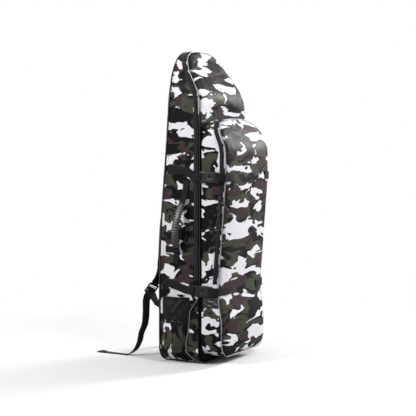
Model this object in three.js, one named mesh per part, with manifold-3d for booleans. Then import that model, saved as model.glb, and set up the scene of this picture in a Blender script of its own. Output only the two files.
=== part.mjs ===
// A tall backpack for long diving fins, standing on its base.
// Millimetres, +Z up, +X to the wearer's right, -Y to the front where the pocket is, +Y to the wearer's back.
// The origin is the middle of the base.
import * as THREE from "three";
import { mergeVertices } from "three/addons/utils/BufferGeometryUtils.js";
import Module from "manifold-3d";

const wasm = await Module();
wasm.setup();

// Driving dimensions of the main compartment
const bagWidth = 310;
const bagDepth = 145;
const bagHeight = 993;
const bagArchStart = 0.782 * bagHeight;
const bagCornerRadius = 40;
const bagRimRadius = 5;
const bagBackLean = 36;
const leanStart = 0.28 * bagHeight;
const leanEnd = 0.9 * bagHeight;
const topSetback = 84;
const setbackStart = 0.855 * bagHeight;

// Driving dimensions of the front pocket
const pocketWidth = 300;
const pocketFoot = 27;
const pocketTop = 776;
const pocketArchStart = pocketTop - 76;
const pocketCornerRadius = 48;
const pocketRimRadius = 5;
const pocketFullDepth = 88;
const pocketPinchDepth = 64;
const pocketFootDepth = 75;
const pocketTopDepth = 42;
const pocketBellyHeight = 140;
const pinchLow = 205;
const fullStart = 575;
const pocketSetbackStart = pocketTop - 96;

// Fabric, foam and webbing
const seatGap = 0.3;
const panelEdge = 3;
const bagCrown = 10;
const pocketCrown = 8;
const crownStart = 0.786 * bagHeight;
const crownFull = 0.86 * bagHeight;
const crownReach = 115;
const backPadThickness = 10;
const backChannelThickness = 4;
const stiffenerThickness = 1.5;
const stiffenerInset = 14;
const baseThickness = 3;
const pipingRadius = 2;
const zipBandWidth = 15;
const zipBandThickness = 1;
const zipChainWidth = 5;
const zipChainHeight = 1;
const zipBandSetback = 5;
const bagZipEnd = 250;
const pocketZipEnd = 258;
const webbingWidth = 25;
const webbingThickness = 1.8;

// Compression straps and their side-release buckles
const upperStrapHeight = 594;
const lowerStrapHeight = 237;
const upperStrapRearHeight = upperStrapHeight + 24;
const lowerStrapRearHeight = lowerStrapHeight + 25;
const upperStrapRear = 42;
const lowerStrapRear = 60;
const buckleThickness = 10;
const buckleWidth = 36;
const buckleStandoff = 3.5;
const socketLength = 46;
const housingLength = 33;
const tongueFrameLength = 22;
const tongueThickness = 4;
const prongLength = 25;
const barWidth = 3;
const slotWidth = 5;
const buckleClearance = 0.4;
const upperTabReach = 35;
const lowerTabReach = 55;

// Side handle
const gripWidth = 26;
const gripThickness = 13;
const gripRibs = 17;
const gripRibDepth = 1.2;
const handleWebbingWidth = 20;
const handleStandoff = 8;
const handleBow = 24;
const handleTopHeight = upperStrapHeight - 72;
const handleSewnTop = handleTopHeight + 62;
const handleFootHeight = handleTopHeight - 162;
const handleSewnFoot = handleFootHeight - 42;
const handleTopPlace = -17;
const handleFootPlace = 8;

// Zip sliders and their pulls
const sliderLength = 14;
const sliderWidth = 9;
const sliderThickness = 3;
const bridgeLength = 8;
const bridgeWire = 1.5;
const bridgeWidth = 2;
const pullCord = 2.4;
const pullLength = 72;
const mainPullLength = 66;
const pullWidth = 13;
const shortPullLength = 46;
const shortPullTilt = 0.75;
const pullEndRadius = 2.7;
const pocketSliderHeights = [527, 500];
const mainSliderHeights = [478, 395];

// Shoulder straps, their ladder locks and the webbing below them
const padThickness = 12;
const padWidth = 60;
const padTipWidth = 34;
const padTipThickness = 8;
const lockLength = 38;
const lockWidth = 35;
const lockThickness = 2.4;
const lockTurn = 0.75;
const lockAside = 116;
const lockReach = 42.9;
const lockHeight = 226;
const wingRootAside = 128;

// Side pockets
const sidePocketTop = 138;
const meshTop = 214;
const sidePocketBulge = 25;
const sidePocketWall = 1.6;
const meshThickness = 1.2;
const meshHem = 4;

const frontRim = -bagDepth / 2;
const rearRim = bagDepth / 2;
const bagFoot = baseThickness + seatGap;
const pocketRear = frontRim - panelEdge - 2 * seatGap;

const colours = {
  camouflage: new THREE.Color(0.3, 0.31, 0.27),
  blackFabric: new THREE.Color(0.03, 0.03, 0.035),
  webbing: new THREE.Color(0.07, 0.07, 0.08),
  piping: new THREE.Color(0.72, 0.72, 0.74),
  plastic: new THREE.Color(0.02, 0.02, 0.024),
  rubber: new THREE.Color(0.04, 0.04, 0.05),
  foam: new THREE.Color(0.2, 0.2, 0.2),
};
const finish = (color, roughness, metalness = 0) =>
  new THREE.MeshStandardMaterial({ color, roughness, metalness });
const coatedFabric = finish(colours.camouflage, 0.35);
const blackFabric = finish(colours.blackFabric, 0.6);
const webbingFabric = finish(colours.webbing, 0.7);
const pipingVinyl = finish(colours.piping, 0.4);
const plastic = finish(colours.plastic, 0.35);
const rubber = finish(colours.rubber, 0.55);
const stiffPlastic = finish(colours.foam, 0.6);

const bag = new THREE.Group();
function addPiece(name, geometry, material, parent = bag) {
  const mesh = new THREE.Mesh(geometry, material);
  mesh.name = name;
  parent.add(mesh);
  return mesh;
}

// Small tools for numbers and meshes
const clampShare = (value) => Math.min(1, Math.max(0, value));
const easeShare = (value) => {
  const t = clampShare(value);
  return t * t * (3 - 2 * t);
};

// The value at one place of a table of [place, value] pairs, straight between them.
function readTable(table, place) {
  if (place <= table[0][0]) return table[0][1];
  for (let i = 1; i < table.length; i++) {
    const [end, value] = table[i];
    const [start, before] = table[i - 1];
    if (place <= end) return before + ((value - before) * (place - start)) / (end - start);
  }
  return table[table.length - 1][1];
}

// A closed mesh from vertices and triangles, turned so that its faces point outwards.
function closedMesh(vertices, triangles) {
  const geometry = new THREE.BufferGeometry();
  geometry.setAttribute(
    "position",
    new THREE.Float32BufferAttribute(vertices.flatMap((v) => [v.x, v.y, v.z]), 3),
  );
  let volume = 0;
  for (const [a, b, c] of triangles)
    volume += vertices[a].dot(new THREE.Vector3().crossVectors(vertices[b], vertices[c]));
  geometry.setIndex(triangles.flatMap(([a, b, c]) => (volume < 0 ? [a, c, b] : [a, b, c])));
  return geometry;
}

// Rings of equally many points joined by walls. The ends are closed flat, or the last ring meets the first.
function loft(rings, { closed = false, cap = flatCap } = {}) {
  const count = rings[0].length;
  const vertices = rings.flat();
  const triangles = [];
  const steps = closed ? rings.length : rings.length - 1;
  for (let r = 0; r < steps; r++) {
    const here = r * count;
    const next = ((r + 1) % rings.length) * count;
    for (let i = 0; i < count; i++) {
      const j = (i + 1) % count;
      triangles.push([here + i, here + j, next + j], [here + i, next + j, next + i]);
    }
  }
  if (!closed) {
    const last = (rings.length - 1) * count;
    for (const [a, b, c] of cap(rings[0])) triangles.push([c, b, a]);
    for (const [a, b, c] of cap(rings[rings.length - 1]))
      triangles.push([last + a, last + b, last + c]);
  }
  return closedMesh(vertices, triangles);
}

// Triangles that close a flat ring, in the ring's own order.
function flatCap(ring) {
  const normal = new THREE.Vector3();
  ring.forEach((p, i) => normal.add(new THREE.Vector3().crossVectors(p, ring[(i + 1) % ring.length])));
  normal.normalize();
  const across = new THREE.Vector3(1, 0, 0);
  if (Math.abs(normal.x) > Math.SQRT1_2) across.set(0, 0, 1);
  across.addScaledVector(normal, -across.dot(normal)).normalize();
  const up = new THREE.Vector3().crossVectors(normal, across);
  const flat = ring.map((p) => new THREE.Vector2(p.dot(across), p.dot(up)));
  return THREE.ShapeUtils.triangulateShape(flat, []);
}

// Rungs between the two sides of a loop that runs up one side and down the other, as outlineLoop makes it.
function ladderCap(ring) {
  const half = ring.length / 2;
  const mirror = (i) => (ring.length - i) % ring.length;
  const triangles = [];
  for (let i = 0; i < half; i++) {
    if (i + 1 < half) triangles.push([i, i + 1, mirror(i + 1)]);
    else triangles.push([i, i + 1, mirror(i)]);
    if (i > 0 && i + 1 < half) triangles.push([i, mirror(i + 1), mirror(i)]);
  }
  return triangles;
}

function toSolid(geometry) {
  const bare = geometry.clone();
  bare.deleteAttribute("normal");
  bare.deleteAttribute("uv");
  const merged = mergeVertices(bare);
  return new wasm.Manifold(
    new wasm.Mesh({
      numProp: 3,
      vertProperties: merged.attributes.position.array,
      triVerts: new Uint32Array(merged.index.array),
    }),
  );
}

function toGeometry(solid) {
  const mesh = solid.getMesh();
  const geometry = new THREE.BufferGeometry();
  geometry.setAttribute("position", new THREE.BufferAttribute(mesh.vertProperties, 3));
  geometry.setIndex(new THREE.BufferAttribute(mesh.triVerts, 1));
  return geometry;
}

const joined = (...parts) => toGeometry(parts.map(toSolid).reduce((a, b) => a.add(b)));
const cutFrom = (body, ...tools) =>
  toGeometry(tools.reduce((a, tool) => a.subtract(toSolid(tool)), toSolid(body)));

// A copy on the other side of the bag, with its faces still pointing outwards.
function mirrored(geometry) {
  const copy = geometry.clone().scale(-1, 1, 1);
  const index = copy.index.array;
  for (let i = 0; i < index.length; i += 3) {
    const second = index[i + 1];
    index[i + 1] = index[i + 2];
    index[i + 2] = second;
  }
  return copy;
}

function block(width, depth, height, x, y, z) {
  return mergeVertices(plain(new THREE.BoxGeometry(width, depth, height).translate(x, y, z)));
}

function plain(geometry) {
  geometry.deleteAttribute("normal");
  geometry.deleteAttribute("uv");
  return geometry;
}

// Outlines of the two compartments, seen from the front: an arch on a base with round corners
const bagOutline = {
  half: bagWidth / 2,
  foot: bagFoot,
  top: bagHeight,
  archStart: bagArchStart,
  corner: bagCornerRadius,
  fullness: 3.6,
  rise: 2.06,
  sideHeights: [0.14, 0.5, 0.62, 0.74].map((share) => share * bagHeight).concat(bagZipEnd, crownStart),
  archSteps: 9,
  archHeights: [setbackStart],
};
const pocketOutline = {
  half: pocketWidth / 2,
  foot: pocketFoot,
  top: pocketTop,
  archStart: pocketArchStart,
  corner: pocketCornerRadius,
  fullness: 2.75,
  rise: 2.75,
  sideHeights: [pocketBellyHeight, pinchLow, pocketZipEnd, fullStart, pocketSetbackStart],
  archSteps: 8,
  archHeights: [],
};
const cornerSteps = 4;

// Even steps up an arch, of which the nearest ones move to the heights that the arch names.
function archAngles({ top, archStart, rise, archSteps, archHeights }, inset) {
  const angleAt = (height, drawnIn) =>
    Math.asin(((height - archStart) / (top - drawnIn - archStart)) ** (rise / 2));
  const angles = [];
  for (let i = 0; i <= archSteps; i++) angles.push((i / archSteps) * (Math.PI / 2));
  for (const height of archHeights)
    angles[Math.round((angleAt(height, 0) / (Math.PI / 2)) * archSteps)] = angleAt(height, inset);
  return angles;
}

// One side of an outline from the middle of its foot to its top, drawn in by an inset.
function outlineSide(outline, inset = 0) {
  const { half, foot, top, archStart, corner, fullness, rise, archSteps } = outline;
  const radius = Math.max(corner - inset, seatGap);
  const side = [{ x: 0, z: foot + inset }];
  for (let i = 0; i <= cornerSteps; i++) {
    const angle = (i / cornerSteps) * (Math.PI / 2);
    side.push({
      x: half - inset - radius + radius * Math.sin(angle),
      z: foot + inset + radius - radius * Math.cos(angle),
    });
  }
  const sideFoot = foot + corner;
  const heights = outline.sideHeights.filter((z) => z > sideFoot && z < archStart);
  for (const z of heights.sort((a, b) => a - b)) side.push({ x: half - inset, z });
  for (const [i, angle] of archAngles(outline, inset).entries()) {
    side.push({
      x: i === archSteps ? 0 : (half - inset) * Math.cos(angle) ** (2 / fullness),
      z: archStart + (top - inset - archStart) * Math.sin(angle) ** (2 / rise),
    });
  }
  return side;
}

// The whole outline as one loop, up the right side and down the left.
function outlineLoop(outline, inset = 0) {
  const side = outlineSide(outline, inset);
  const back = side.slice(1, -1).reverse();
  return [...side, ...back.map(({ x, z }) => ({ x: -x, z }))];
}

// How far back or forward the faces of the compartments lie at a height
const bagSetbackPower = 1.2;
const pocketSetbackPower = 1.25;
function bagFrontAt(z) {
  const left = Math.min(1, Math.max(0, (bagHeight - z) / (bagHeight - setbackStart)));
  return frontRim + topSetback * (1 - left ** bagSetbackPower);
}
const bagRearAt = (z) => rearRim - bagBackLean * easeShare((z - leanStart) / (leanEnd - leanStart));
const bagCrownAt = (z) => bagCrown * easeShare((z - crownStart) / (crownFull - crownStart));

const pocketDepths = [
  [pocketFoot, pocketFootDepth],
  [pocketBellyHeight, pocketFootDepth],
  [pinchLow, pocketPinchDepth],
  [pocketZipEnd, pocketPinchDepth],
  [fullStart, pocketFullDepth],
];
function pocketFrontAt(z) {
  const share = Math.max(0, (z - pocketSetbackStart) / (pocketTop - pocketSetbackStart));
  const drop = (pocketFullDepth - pocketTopDepth) * share ** pocketSetbackPower;
  return frontRim - readTable(pocketDepths, z) + drop;
}

// A loop of points on an outline: inset from its edge, and a distance from a face that may curve with height.
const faceLoop = (outline, inset, faceAt, offset) =>
  outlineLoop(outline, inset).map(({ x, z }) => new THREE.Vector3(x, faceAt(z) + offset(x, z), z));

// A compartment with round rims between its front and rear faces.
function compartment(outline, frontAt, rearAt, frontRadius, rearRadius) {
  const rings = [];
  const turns = [1, 0.5, 0];
  for (const turn of turns) {
    const angle = turn * (Math.PI / 2);
    const inset = frontRadius * (1 - Math.cos(angle));
    const depth = frontRadius * (1 - Math.sin(angle));
    rings.push(faceLoop(outline, inset, frontAt, () => depth));
  }
  for (const turn of [...turns].reverse()) {
    const angle = turn * (Math.PI / 2);
    const inset = rearRadius * (1 - Math.cos(angle));
    const depth = rearRadius * (1 - Math.sin(angle));
    rings.push(faceLoop(outline, inset, rearAt, () => -depth));
  }
  return loft(rings, { cap: ladderCap });
}

// A panel on a face: flat behind, thin at its edge and swelling to its crown.
const crownShares = [
  [0, 0],
  [0.087, 0.35],
  [0.278, 0.68],
  [0.609, 0.92],
  [1, 1],
];
const panelInset = 2.6;
function frontPanel(outline, frontAt, crownAt) {
  const rings = [
    faceLoop(outline, panelInset, frontAt, () => -seatGap),
    ...crownShares.map(([along, share]) =>
      faceLoop(
        outline,
        panelInset + along * crownReach,
        frontAt,
        (x, z) => -seatGap - panelEdge - share * crownAt(z),
      ),
    ),
  ];
  return loft(rings, { cap: ladderCap });
}

// Trim that follows an outline: a section of insets and depths at each of the outline's points.
// Without a foot it goes all the way round, and with one it runs up one side and down the other.
function followOutline(outline, sectionAt, foot) {
  const rings = [];
  outlineLoop(outline).forEach((point, i) => {
    if (foot !== undefined && point.z < foot) return;
    rings.push(
      sectionAt(point.z).map(({ inset, yAt }) => {
        const { x, z } = outlineLoop(outline, inset)[i];
        return new THREE.Vector3(x, yAt(z), z);
      }),
    );
  });
  return loft(rings, { closed: foot === undefined });
}

// The section of a round piping that sits on a round rim. The turn is 0 beside the rim and a right angle in
// front of it, and a shift carries the piping on along the side.
const pipingSides = 6;
function pipingSection(rimRadius, faceAt, toFace, turn, shift) {
  const reach = rimRadius + seatGap + pipingRadius;
  const section = [];
  for (let k = 0; k < pipingSides; k++) {
    const angle = (k / pipingSides) * 2 * Math.PI;
    const depth = rimRadius - reach * Math.sin(turn) - pipingRadius * Math.sin(angle) + shift;
    section.push({
      inset: rimRadius - reach * Math.cos(turn) - pipingRadius * Math.cos(angle),
      yAt: (z) => faceAt(z) - toFace * depth,
    });
  }
  return section;
}

// Below the lower straps the front seam leaves the rim, runs back along the side and returns at the foot.
const wrapTop = 222;
const wrapReach = 49;
const wrapShares = [
  [0.028, 0.08],
  [0.068, 0.41],
  [0.126, 0.78],
  [0.19, 1],
  [0.34, 0.96],
  [0.49, 0.82],
  [0.78, 0.69],
  [0.9, 0.27],
  [0.957, 0.117],
  [0.979, 0.058],
  [1, 0],
];
const wrapAt = (z) => (z < bagFoot + seatGap ? 0 : wrapReach * readTable(wrapShares, z / wrapTop));
const cornerTurn = Math.PI / 4;
function frontSeamSection(z) {
  const quarter = (bagRimRadius + seatGap + pipingRadius) * cornerTurn;
  const along = wrapAt(z);
  const turn = cornerTurn * (1 - Math.min(1, along / quarter));
  return pipingSection(bagRimRadius, bagFrontAt, -1, turn, Math.max(0, along - quarter));
}

// The section of a zip band on the side of a compartment: a flat tape with the raised chain in its middle.
function zipSection(faceAt) {
  const inner = -seatGap;
  const outer = inner - zipBandThickness;
  const chain = outer - zipChainHeight;
  const near = zipBandSetback;
  const far = near + zipBandWidth;
  const middle = near + zipBandWidth / 2;
  const places = [
    [inner, near],
    [outer, near],
    [outer, middle - zipChainWidth / 2],
    [chain, middle - zipChainWidth / 2],
    [chain, middle + zipChainWidth / 2],
    [outer, middle + zipChainWidth / 2],
    [outer, far],
    [inner, far],
  ];
  return places.map(([inset, depth]) => ({ inset, yAt: (z) => faceAt(z) + depth }));
}

// A section carried along points. Each section is a list of [across, outwards] places about its point.
function sweep(points, acrosses, sectionAt, closed = false) {
  const last = points.length - 1;
  const rings = points.map((point, i) => {
    const before = points[closed && i === 0 ? last : Math.max(0, i - 1)];
    const after = points[closed && i === last ? 0 : Math.min(last, i + 1)];
    const along = after.clone().sub(before).normalize();
    const across = (Array.isArray(acrosses) ? acrosses[i] : acrosses).clone();
    across.addScaledVector(along, -across.dot(along)).normalize();
    const out = new THREE.Vector3().crossVectors(along, across);
    return sectionAt(i).map(([a, o]) => point.clone().addScaledVector(across, a).addScaledVector(out, o));
  });
  return loft(rings, { closed });
}

const flatSection = (width, thickness) => [
  [width / 2, thickness / 2],
  [-width / 2, thickness / 2],
  [-width / 2, -thickness / 2],
  [width / 2, -thickness / 2],
];
const cushionShares = [
  [1, 0.4],
  [0.82, 1],
  [-0.82, 1],
  [-1, 0.4],
  [-1, -0.4],
  [-0.82, -1],
  [0.82, -1],
  [1, -0.4],
];
const cushionSection = (width, thickness) =>
  cushionShares.map(([across, out]) => [(across * width) / 2, (out * thickness) / 2]);
const cordSides = 6;
function roundSection(radius) {
  const section = [];
  for (let k = 0; k < cordSides; k++) {
    const angle = (k / cordSides) * 2 * Math.PI;
    section.push([radius * Math.cos(angle), radius * Math.sin(angle)]);
  }
  return section;
}

// A flat strip of webbing along points, with the direction of its width
const ribbon = (points, acrosses, width = webbingWidth, thickness = webbingThickness) =>
  sweep(points, acrosses, () => flatSection(width, thickness));
const upright = new THREE.Vector3(0, 0, 1);

// Points round the far side of a bar, from one leg of the webbing to the other.
const wrapSteps = 6;
function roundBar(x, y, radius, towards) {
  const points = [];
  for (let i = 0; i <= wrapSteps; i++) {
    const angle = (i / wrapSteps) * Math.PI;
    points.push([x + radius * Math.cos(angle), y + towards * radius * Math.sin(angle)]);
  }
  return points;
}

// A flat outline in a plane, given a thickness about that plane.
function plate(shape, thickness, bevel = 0) {
  const geometry = new THREE.ExtrudeGeometry(shape, {
    depth: thickness - 2 * bevel,
    bevelEnabled: bevel > 0,
    bevelThickness: bevel,
    bevelSize: bevel,
    bevelOffset: -bevel,
    bevelSegments: 1,
    curveSegments: 3,
  });
  return mergeVertices(plain(geometry.translate(0, 0, bevel - thickness / 2)));
}

function roundedRectangle(left, right, bottom, top, radius) {
  const shape = new THREE.Shape();
  shape.moveTo(left + radius, bottom);
  shape.lineTo(right - radius, bottom);
  shape.absarc(right - radius, bottom + radius, radius, -Math.PI / 2, 0);
  shape.lineTo(right, top - radius);
  shape.absarc(right - radius, top - radius, radius, 0, Math.PI / 2);
  shape.lineTo(left + radius, top);
  shape.absarc(left + radius, top - radius, radius, Math.PI / 2, Math.PI);
  shape.lineTo(left, bottom + radius);
  shape.absarc(left + radius, bottom + radius, radius, Math.PI, 1.5 * Math.PI);
  return shape;
}

// Turns a piece drawn flat, with u to the front, v up and n outwards, onto the left side of the bag.
const ontoLeftSide = (geometry, x, y, z) =>
  geometry.applyMatrix4(
    new THREE.Matrix4()
      .makeBasis(new THREE.Vector3(0, -1, 0), upright, new THREE.Vector3(-1, 0, 0))
      .setPosition(-x, y, z),
  );

const sides = [
  ["left", (geometry) => geometry],
  ["right", mirrored],
];

// The main compartment, its panels and its trim
addPiece(
  "main_compartment",
  compartment(bagOutline, bagFrontAt, bagRearAt, bagRimRadius, bagRimRadius),
  coatedFabric,
);
addPiece("main_front_panel", frontPanel(bagOutline, bagFrontAt, bagCrownAt), coatedFabric);

const stiffenerRear = seatGap + stiffenerThickness;
addPiece(
  "back_stiffener",
  loft(
    [seatGap, stiffenerRear].map((depth) => faceLoop(bagOutline, stiffenerInset, bagRearAt, () => depth)),
    { cap: ladderCap },
  ),
  stiffPlastic,
);

// The padded back: a thin edge, a full pad and a channel for air down its middle
const backPanelFront = stiffenerRear + seatGap;
const backPanelFace = backPanelFront + backPadThickness;
const padEdgeWidth = 10;
const channelHalf = 20;
const channelSlope = 7;
const backPanelLoops = [
  [panelInset, backPanelFront],
  [panelInset, backPanelFront + panelEdge],
  [panelInset + padEdgeWidth, backPanelFace],
  [bagOutline.half - channelHalf - channelSlope, backPanelFace],
  [bagOutline.half - channelHalf, backPanelFront + backChannelThickness],
];
addPiece(
  "back_panel",
  loft(
    backPanelLoops.map(([inset, depth]) => faceLoop(bagOutline, inset, bagRearAt, () => depth)),
    { cap: ladderCap },
  ),
  blackFabric,
);

const baseHalf = bagOutline.half - bagCornerRadius;
const baseMargin = bagRimRadius + 1.5 * pipingRadius;
addPiece(
  "base_panel",
  plate(
    roundedRectangle(-baseHalf, baseHalf, frontRim + baseMargin, rearRim - baseMargin, 2 * bagRimRadius),
    baseThickness,
  ).translate(0, 0, baseThickness / 2),
  blackFabric,
);

const seamOutline = {
  ...bagOutline,
  sideHeights: [...bagOutline.sideHeights, ...wrapShares.map(([share]) => share * wrapTop)],
};
addPiece("main_front_piping", followOutline(seamOutline, frontSeamSection), pipingVinyl);
addPiece(
  "main_rear_piping",
  followOutline(bagOutline, () => pipingSection(bagRimRadius, bagRearAt, 1, cornerTurn, 0)),
  pipingVinyl,
);
addPiece("main_zip", followOutline(bagOutline, () => zipSection(bagFrontAt), bagZipEnd), blackFabric);

// The front pocket, its panel and its trim
addPiece(
  "pocket_compartment",
  compartment(pocketOutline, pocketFrontAt, () => pocketRear, pocketRimRadius, pipingRadius),
  coatedFabric,
);
addPiece("pocket_front_panel", frontPanel(pocketOutline, pocketFrontAt, () => pocketCrown), coatedFabric);
addPiece(
  "pocket_front_piping",
  followOutline(pocketOutline, () => pipingSection(pocketRimRadius, pocketFrontAt, -1, cornerTurn, 0)),
  pipingVinyl,
);
addPiece(
  "pocket_zip",
  followOutline(pocketOutline, () => zipSection(pocketFrontAt), pocketZipEnd),
  blackFabric,
);

// Compression straps: sewn webbing, a webbing loop that slides over it, a tongue, a socket and a front tab
const buckleCentre = bagOutline.half + buckleStandoff + buckleThickness / 2;
const loopRadius = Math.hypot(barWidth, tongueThickness) / 2 + seatGap + webbingThickness / 2;
const buckleSlotHalf = webbingWidth / 2 + buckleClearance;

function tongueShape() {
  const half = buckleWidth / 2 - 1.5 * buckleClearance;
  const root = tongueFrameLength;
  const reach = prongLength;
  const prongShares = [
    [0, 0.84],
    [0.3, 0.77],
    [0.5, 0.83],
    [0.66, 0.82],
    [1, 0.58],
    [0.92, 0.47],
    [0.6, 0.54],
    [0.16, 0.5],
    [0.08, 0.4],
    [0.08, 0.15],
    [0.86, 0.15],
    [0.94, 0.08],
  ];
  const shape = new THREE.Shape();
  const corner = barWidth;
  shape.moveTo(0, corner - half);
  shape.absarc(corner, corner - half, corner, Math.PI, 1.5 * Math.PI);
  shape.lineTo(root, -half);
  for (const [along, across] of prongShares) shape.lineTo(root + along * reach, -across * half);
  for (const [along, across] of [...prongShares].reverse())
    shape.lineTo(root + along * reach, across * half);
  shape.lineTo(root, half);
  shape.absarc(corner, half - corner, corner, Math.PI / 2, Math.PI);
  shape.closePath();
  shape.holes.push(
    roundedRectangle(barWidth, barWidth + slotWidth, -buckleSlotHalf, buckleSlotHalf, seatGap),
  );
  return shape;
}

function socketBody() {
  const half = buckleWidth / 2;
  const cavityHalf = 0.86 * half;
  const cavityHeight = tongueThickness + 2 * buckleClearance;
  const cavityDepth = prongLength + buckleClearance;
  const overrun = buckleThickness;
  const housing = plate(
    roundedRectangle(0, housingLength, -half, half, 2 * barWidth),
    buckleThickness,
    barWidth / 2,
  );
  const frame = plate(
    roundedRectangle(
      housingLength - 2 * barWidth,
      socketLength,
      barWidth / 2 - half,
      half - barWidth / 2,
      barWidth,
    ),
    tongueThickness,
  );
  const slot = block(
    slotWidth,
    2 * buckleSlotHalf,
    overrun,
    socketLength - barWidth - slotWidth / 2,
    0,
    0,
  );
  const cavity = block(
    cavityDepth + overrun,
    2 * cavityHalf,
    cavityHeight,
    (cavityDepth - overrun) / 2,
    0,
    0,
  );
  const windows = block(0.34 * housingLength, 4 * half, cavityHeight, 0.5 * housingLength, 0, 0);
  const view = plate(
    roundedRectangle(0.3 * housingLength, 0.62 * housingLength, -barWidth, barWidth, barWidth - seatGap),
    overrun,
  ).translate(0, 0, overrun / 2);
  return cutFrom(joined(housing, frame), slot, cavity, windows, view);
}

const sewnGap = seatGap + webbingThickness / 2;
const loopOutset = sewnGap + webbingThickness + seatGap;
const bendShares = { upper: 0.71, lower: 0.25 };
const straps = [
  ["upper", upperStrapHeight, upperStrapRearHeight, upperStrapRear, upperTabReach],
  ["lower", lowerStrapHeight, lowerStrapRearHeight, lowerStrapRear, lowerTabReach],
];
const socketSetback = 14;
const boxStitchLength = 24;
const strapRise = 26;
const sewnEndSetback = 45;
for (const [level, height, rearHeight, rear, tabReach] of straps) {
  const pocketFront = pocketFrontAt(height);
  const socketFront = pocketFront + socketSetback;
  const mouth = socketFront + socketLength;
  const tongueRear = mouth + buckleClearance + tongueFrameLength;
  const tongueBar = tongueRear - barWidth / 2;
  const socketBar = socketFront + barWidth / 2;
  const levelFrom = tongueBar + strapRise;
  const sewnEnd = levelFrom + sewnEndSetback / 2;
  const sewnEndHeight = height + bendShares[level] * (rearHeight - height);
  const heightAt = (y) =>
    readTable(
      [
        [levelFrom, height],
        [sewnEnd, sewnEndHeight],
        [rear, rearHeight],
      ],
      y,
    );
  const onSide = ([x, y]) => new THREE.Vector3(-x, y, heightAt(y));

  const sewn = [rear, sewnEnd].map((y) => [bagOutline.half + sewnGap, y]);
  const flatLoop = bagOutline.half + loopOutset;
  const loop = [
    [flatLoop, rear - boxStitchLength],
    [flatLoop, sewnEnd],
    [flatLoop, levelFrom + 2 * barWidth],
    [(flatLoop + buckleCentre + loopRadius) / 2, levelFrom - strapRise / 4],
    [buckleCentre + loopRadius, tongueBar + 3 * barWidth],
    ...roundBar(buckleCentre, tongueBar, loopRadius, -1),
    [buckleCentre - loopRadius, tongueBar + 4 * barWidth],
  ];
  const panelFace = (inset) =>
    pocketFront - seatGap - panelEdge - pocketCrown * readTable(crownShares, inset / crownReach);
  const tabInsets = [0, ...crownShares.slice(1, 3).map(([along]) => along * crownReach), tabReach];
  const edge = pocketOutline.half - panelInset;
  const tab = [
    [buckleCentre - loopRadius, socketBar - 3 * barWidth],
    ...roundBar(buckleCentre, socketBar, loopRadius, 1).reverse(),
    [buckleCentre + loopRadius, socketBar - barWidth],
    [buckleCentre + barWidth / 2, pocketFront + 2 * barWidth],
    [pocketOutline.half + 2.6 * barWidth, pocketFront - 0.6 * barWidth],
    [pocketOutline.half + 0.7 * barWidth, pocketFront - 1.6 * barWidth],
    ...tabInsets.map((inset) => [edge - inset, panelFace(inset) - 2 * sewnGap + seatGap]),
  ];
  const onFront = ([x, y]) => new THREE.Vector3(-x, y, height);

  for (const [side, place] of sides) {
    addPiece(
      `${level}_${side}_strap_sewn_webbing`,
      place(ribbon(sewn.map(onSide), upright)),
      webbingFabric,
    );
    addPiece(`${level}_${side}_strap_loop`, place(ribbon(loop.map(onSide), upright)), webbingFabric);
    addPiece(
      `${level}_${side}_buckle_tongue`,
      place(
        ontoLeftSide(plate(tongueShape(), tongueThickness), buckleCentre, tongueRear, height),
      ),
      plastic,
    );
    addPiece(
      `${level}_${side}_buckle_socket`,
      place(ontoLeftSide(socketBody(), buckleCentre, mouth, height)),
      plastic,
    );
    addPiece(`${level}_${side}_strap_tab`, place(ribbon(tab.map(onFront), upright)), webbingFabric);
  }
}

// The side handle: sewn webbing ends, and webbing in a ribbed grip that swings between them
const handleOut = bagOutline.half + handleStandoff;
const handleTop = new THREE.Vector3(-handleOut, handleTopPlace, handleTopHeight);
const handleFoot = new THREE.Vector3(-handleOut, handleFootPlace, handleFootHeight);
const handleAxis = handleFoot.clone().sub(handleTop).normalize();
const handleAcross = new THREE.Vector3(0, 1, 0);
const sewnOut = bagOutline.half + sewnGap;
const tabRise = 12;
const riseShares = [
  [0.11, 1],
  [0.22, 1],
  [0.5, 0.72],
  [0.78, 0.2],
  [1, 0],
];

// Webbing sewn flat to the side that rises at one end to meet the swinging part.
function handleEnd(end, towardsEnd, sewnHeight) {
  const points = [end.clone().addScaledVector(towardsEnd, -seatGap)];
  for (const [along, rise] of riseShares) {
    const point = end.clone().addScaledVector(towardsEnd, -along * tabRise - seatGap);
    point.x = -sewnOut - rise * (handleOut - sewnOut);
    points.push(point);
  }
  const sewn = points[points.length - 1].clone();
  sewn.addScaledVector(towardsEnd, (sewnHeight - sewn.z) / towardsEnd.z);
  return ribbon([...points, sewn], handleAcross, handleWebbingWidth);
}
addPiece("side_handle_upper_webbing", handleEnd(handleTop, handleAxis, handleSewnTop), webbingFabric);
addPiece(
  "side_handle_lower_webbing",
  handleEnd(handleFoot, handleAxis.clone().negate(), handleSewnFoot),
  webbingFabric,
);

const bowPower = 1.3;
function handlePoint(share) {
  const point = handleTop.clone().lerp(handleFoot, share);
  point.x -= handleBow * Math.sin(Math.PI * clampShare(share)) ** bowPower;
  return point;
}
const bowSteps = 16;
const bowShares = [];
for (let i = 0; i <= bowSteps; i++) bowShares.push(i / bowSteps);
bowShares.splice(1, 0, 0.012);
bowShares.splice(-1, 0, 0.988);
const bowPoints = bowShares.map((share) => {
  const point = handlePoint(share);
  if (share < bowShares[2] || share > bowShares[bowShares.length - 3]) point.x = -handleOut;
  return point;
});
addPiece("side_handle_webbing", ribbon(bowPoints, handleAcross, handleWebbingWidth), webbingFabric);

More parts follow.
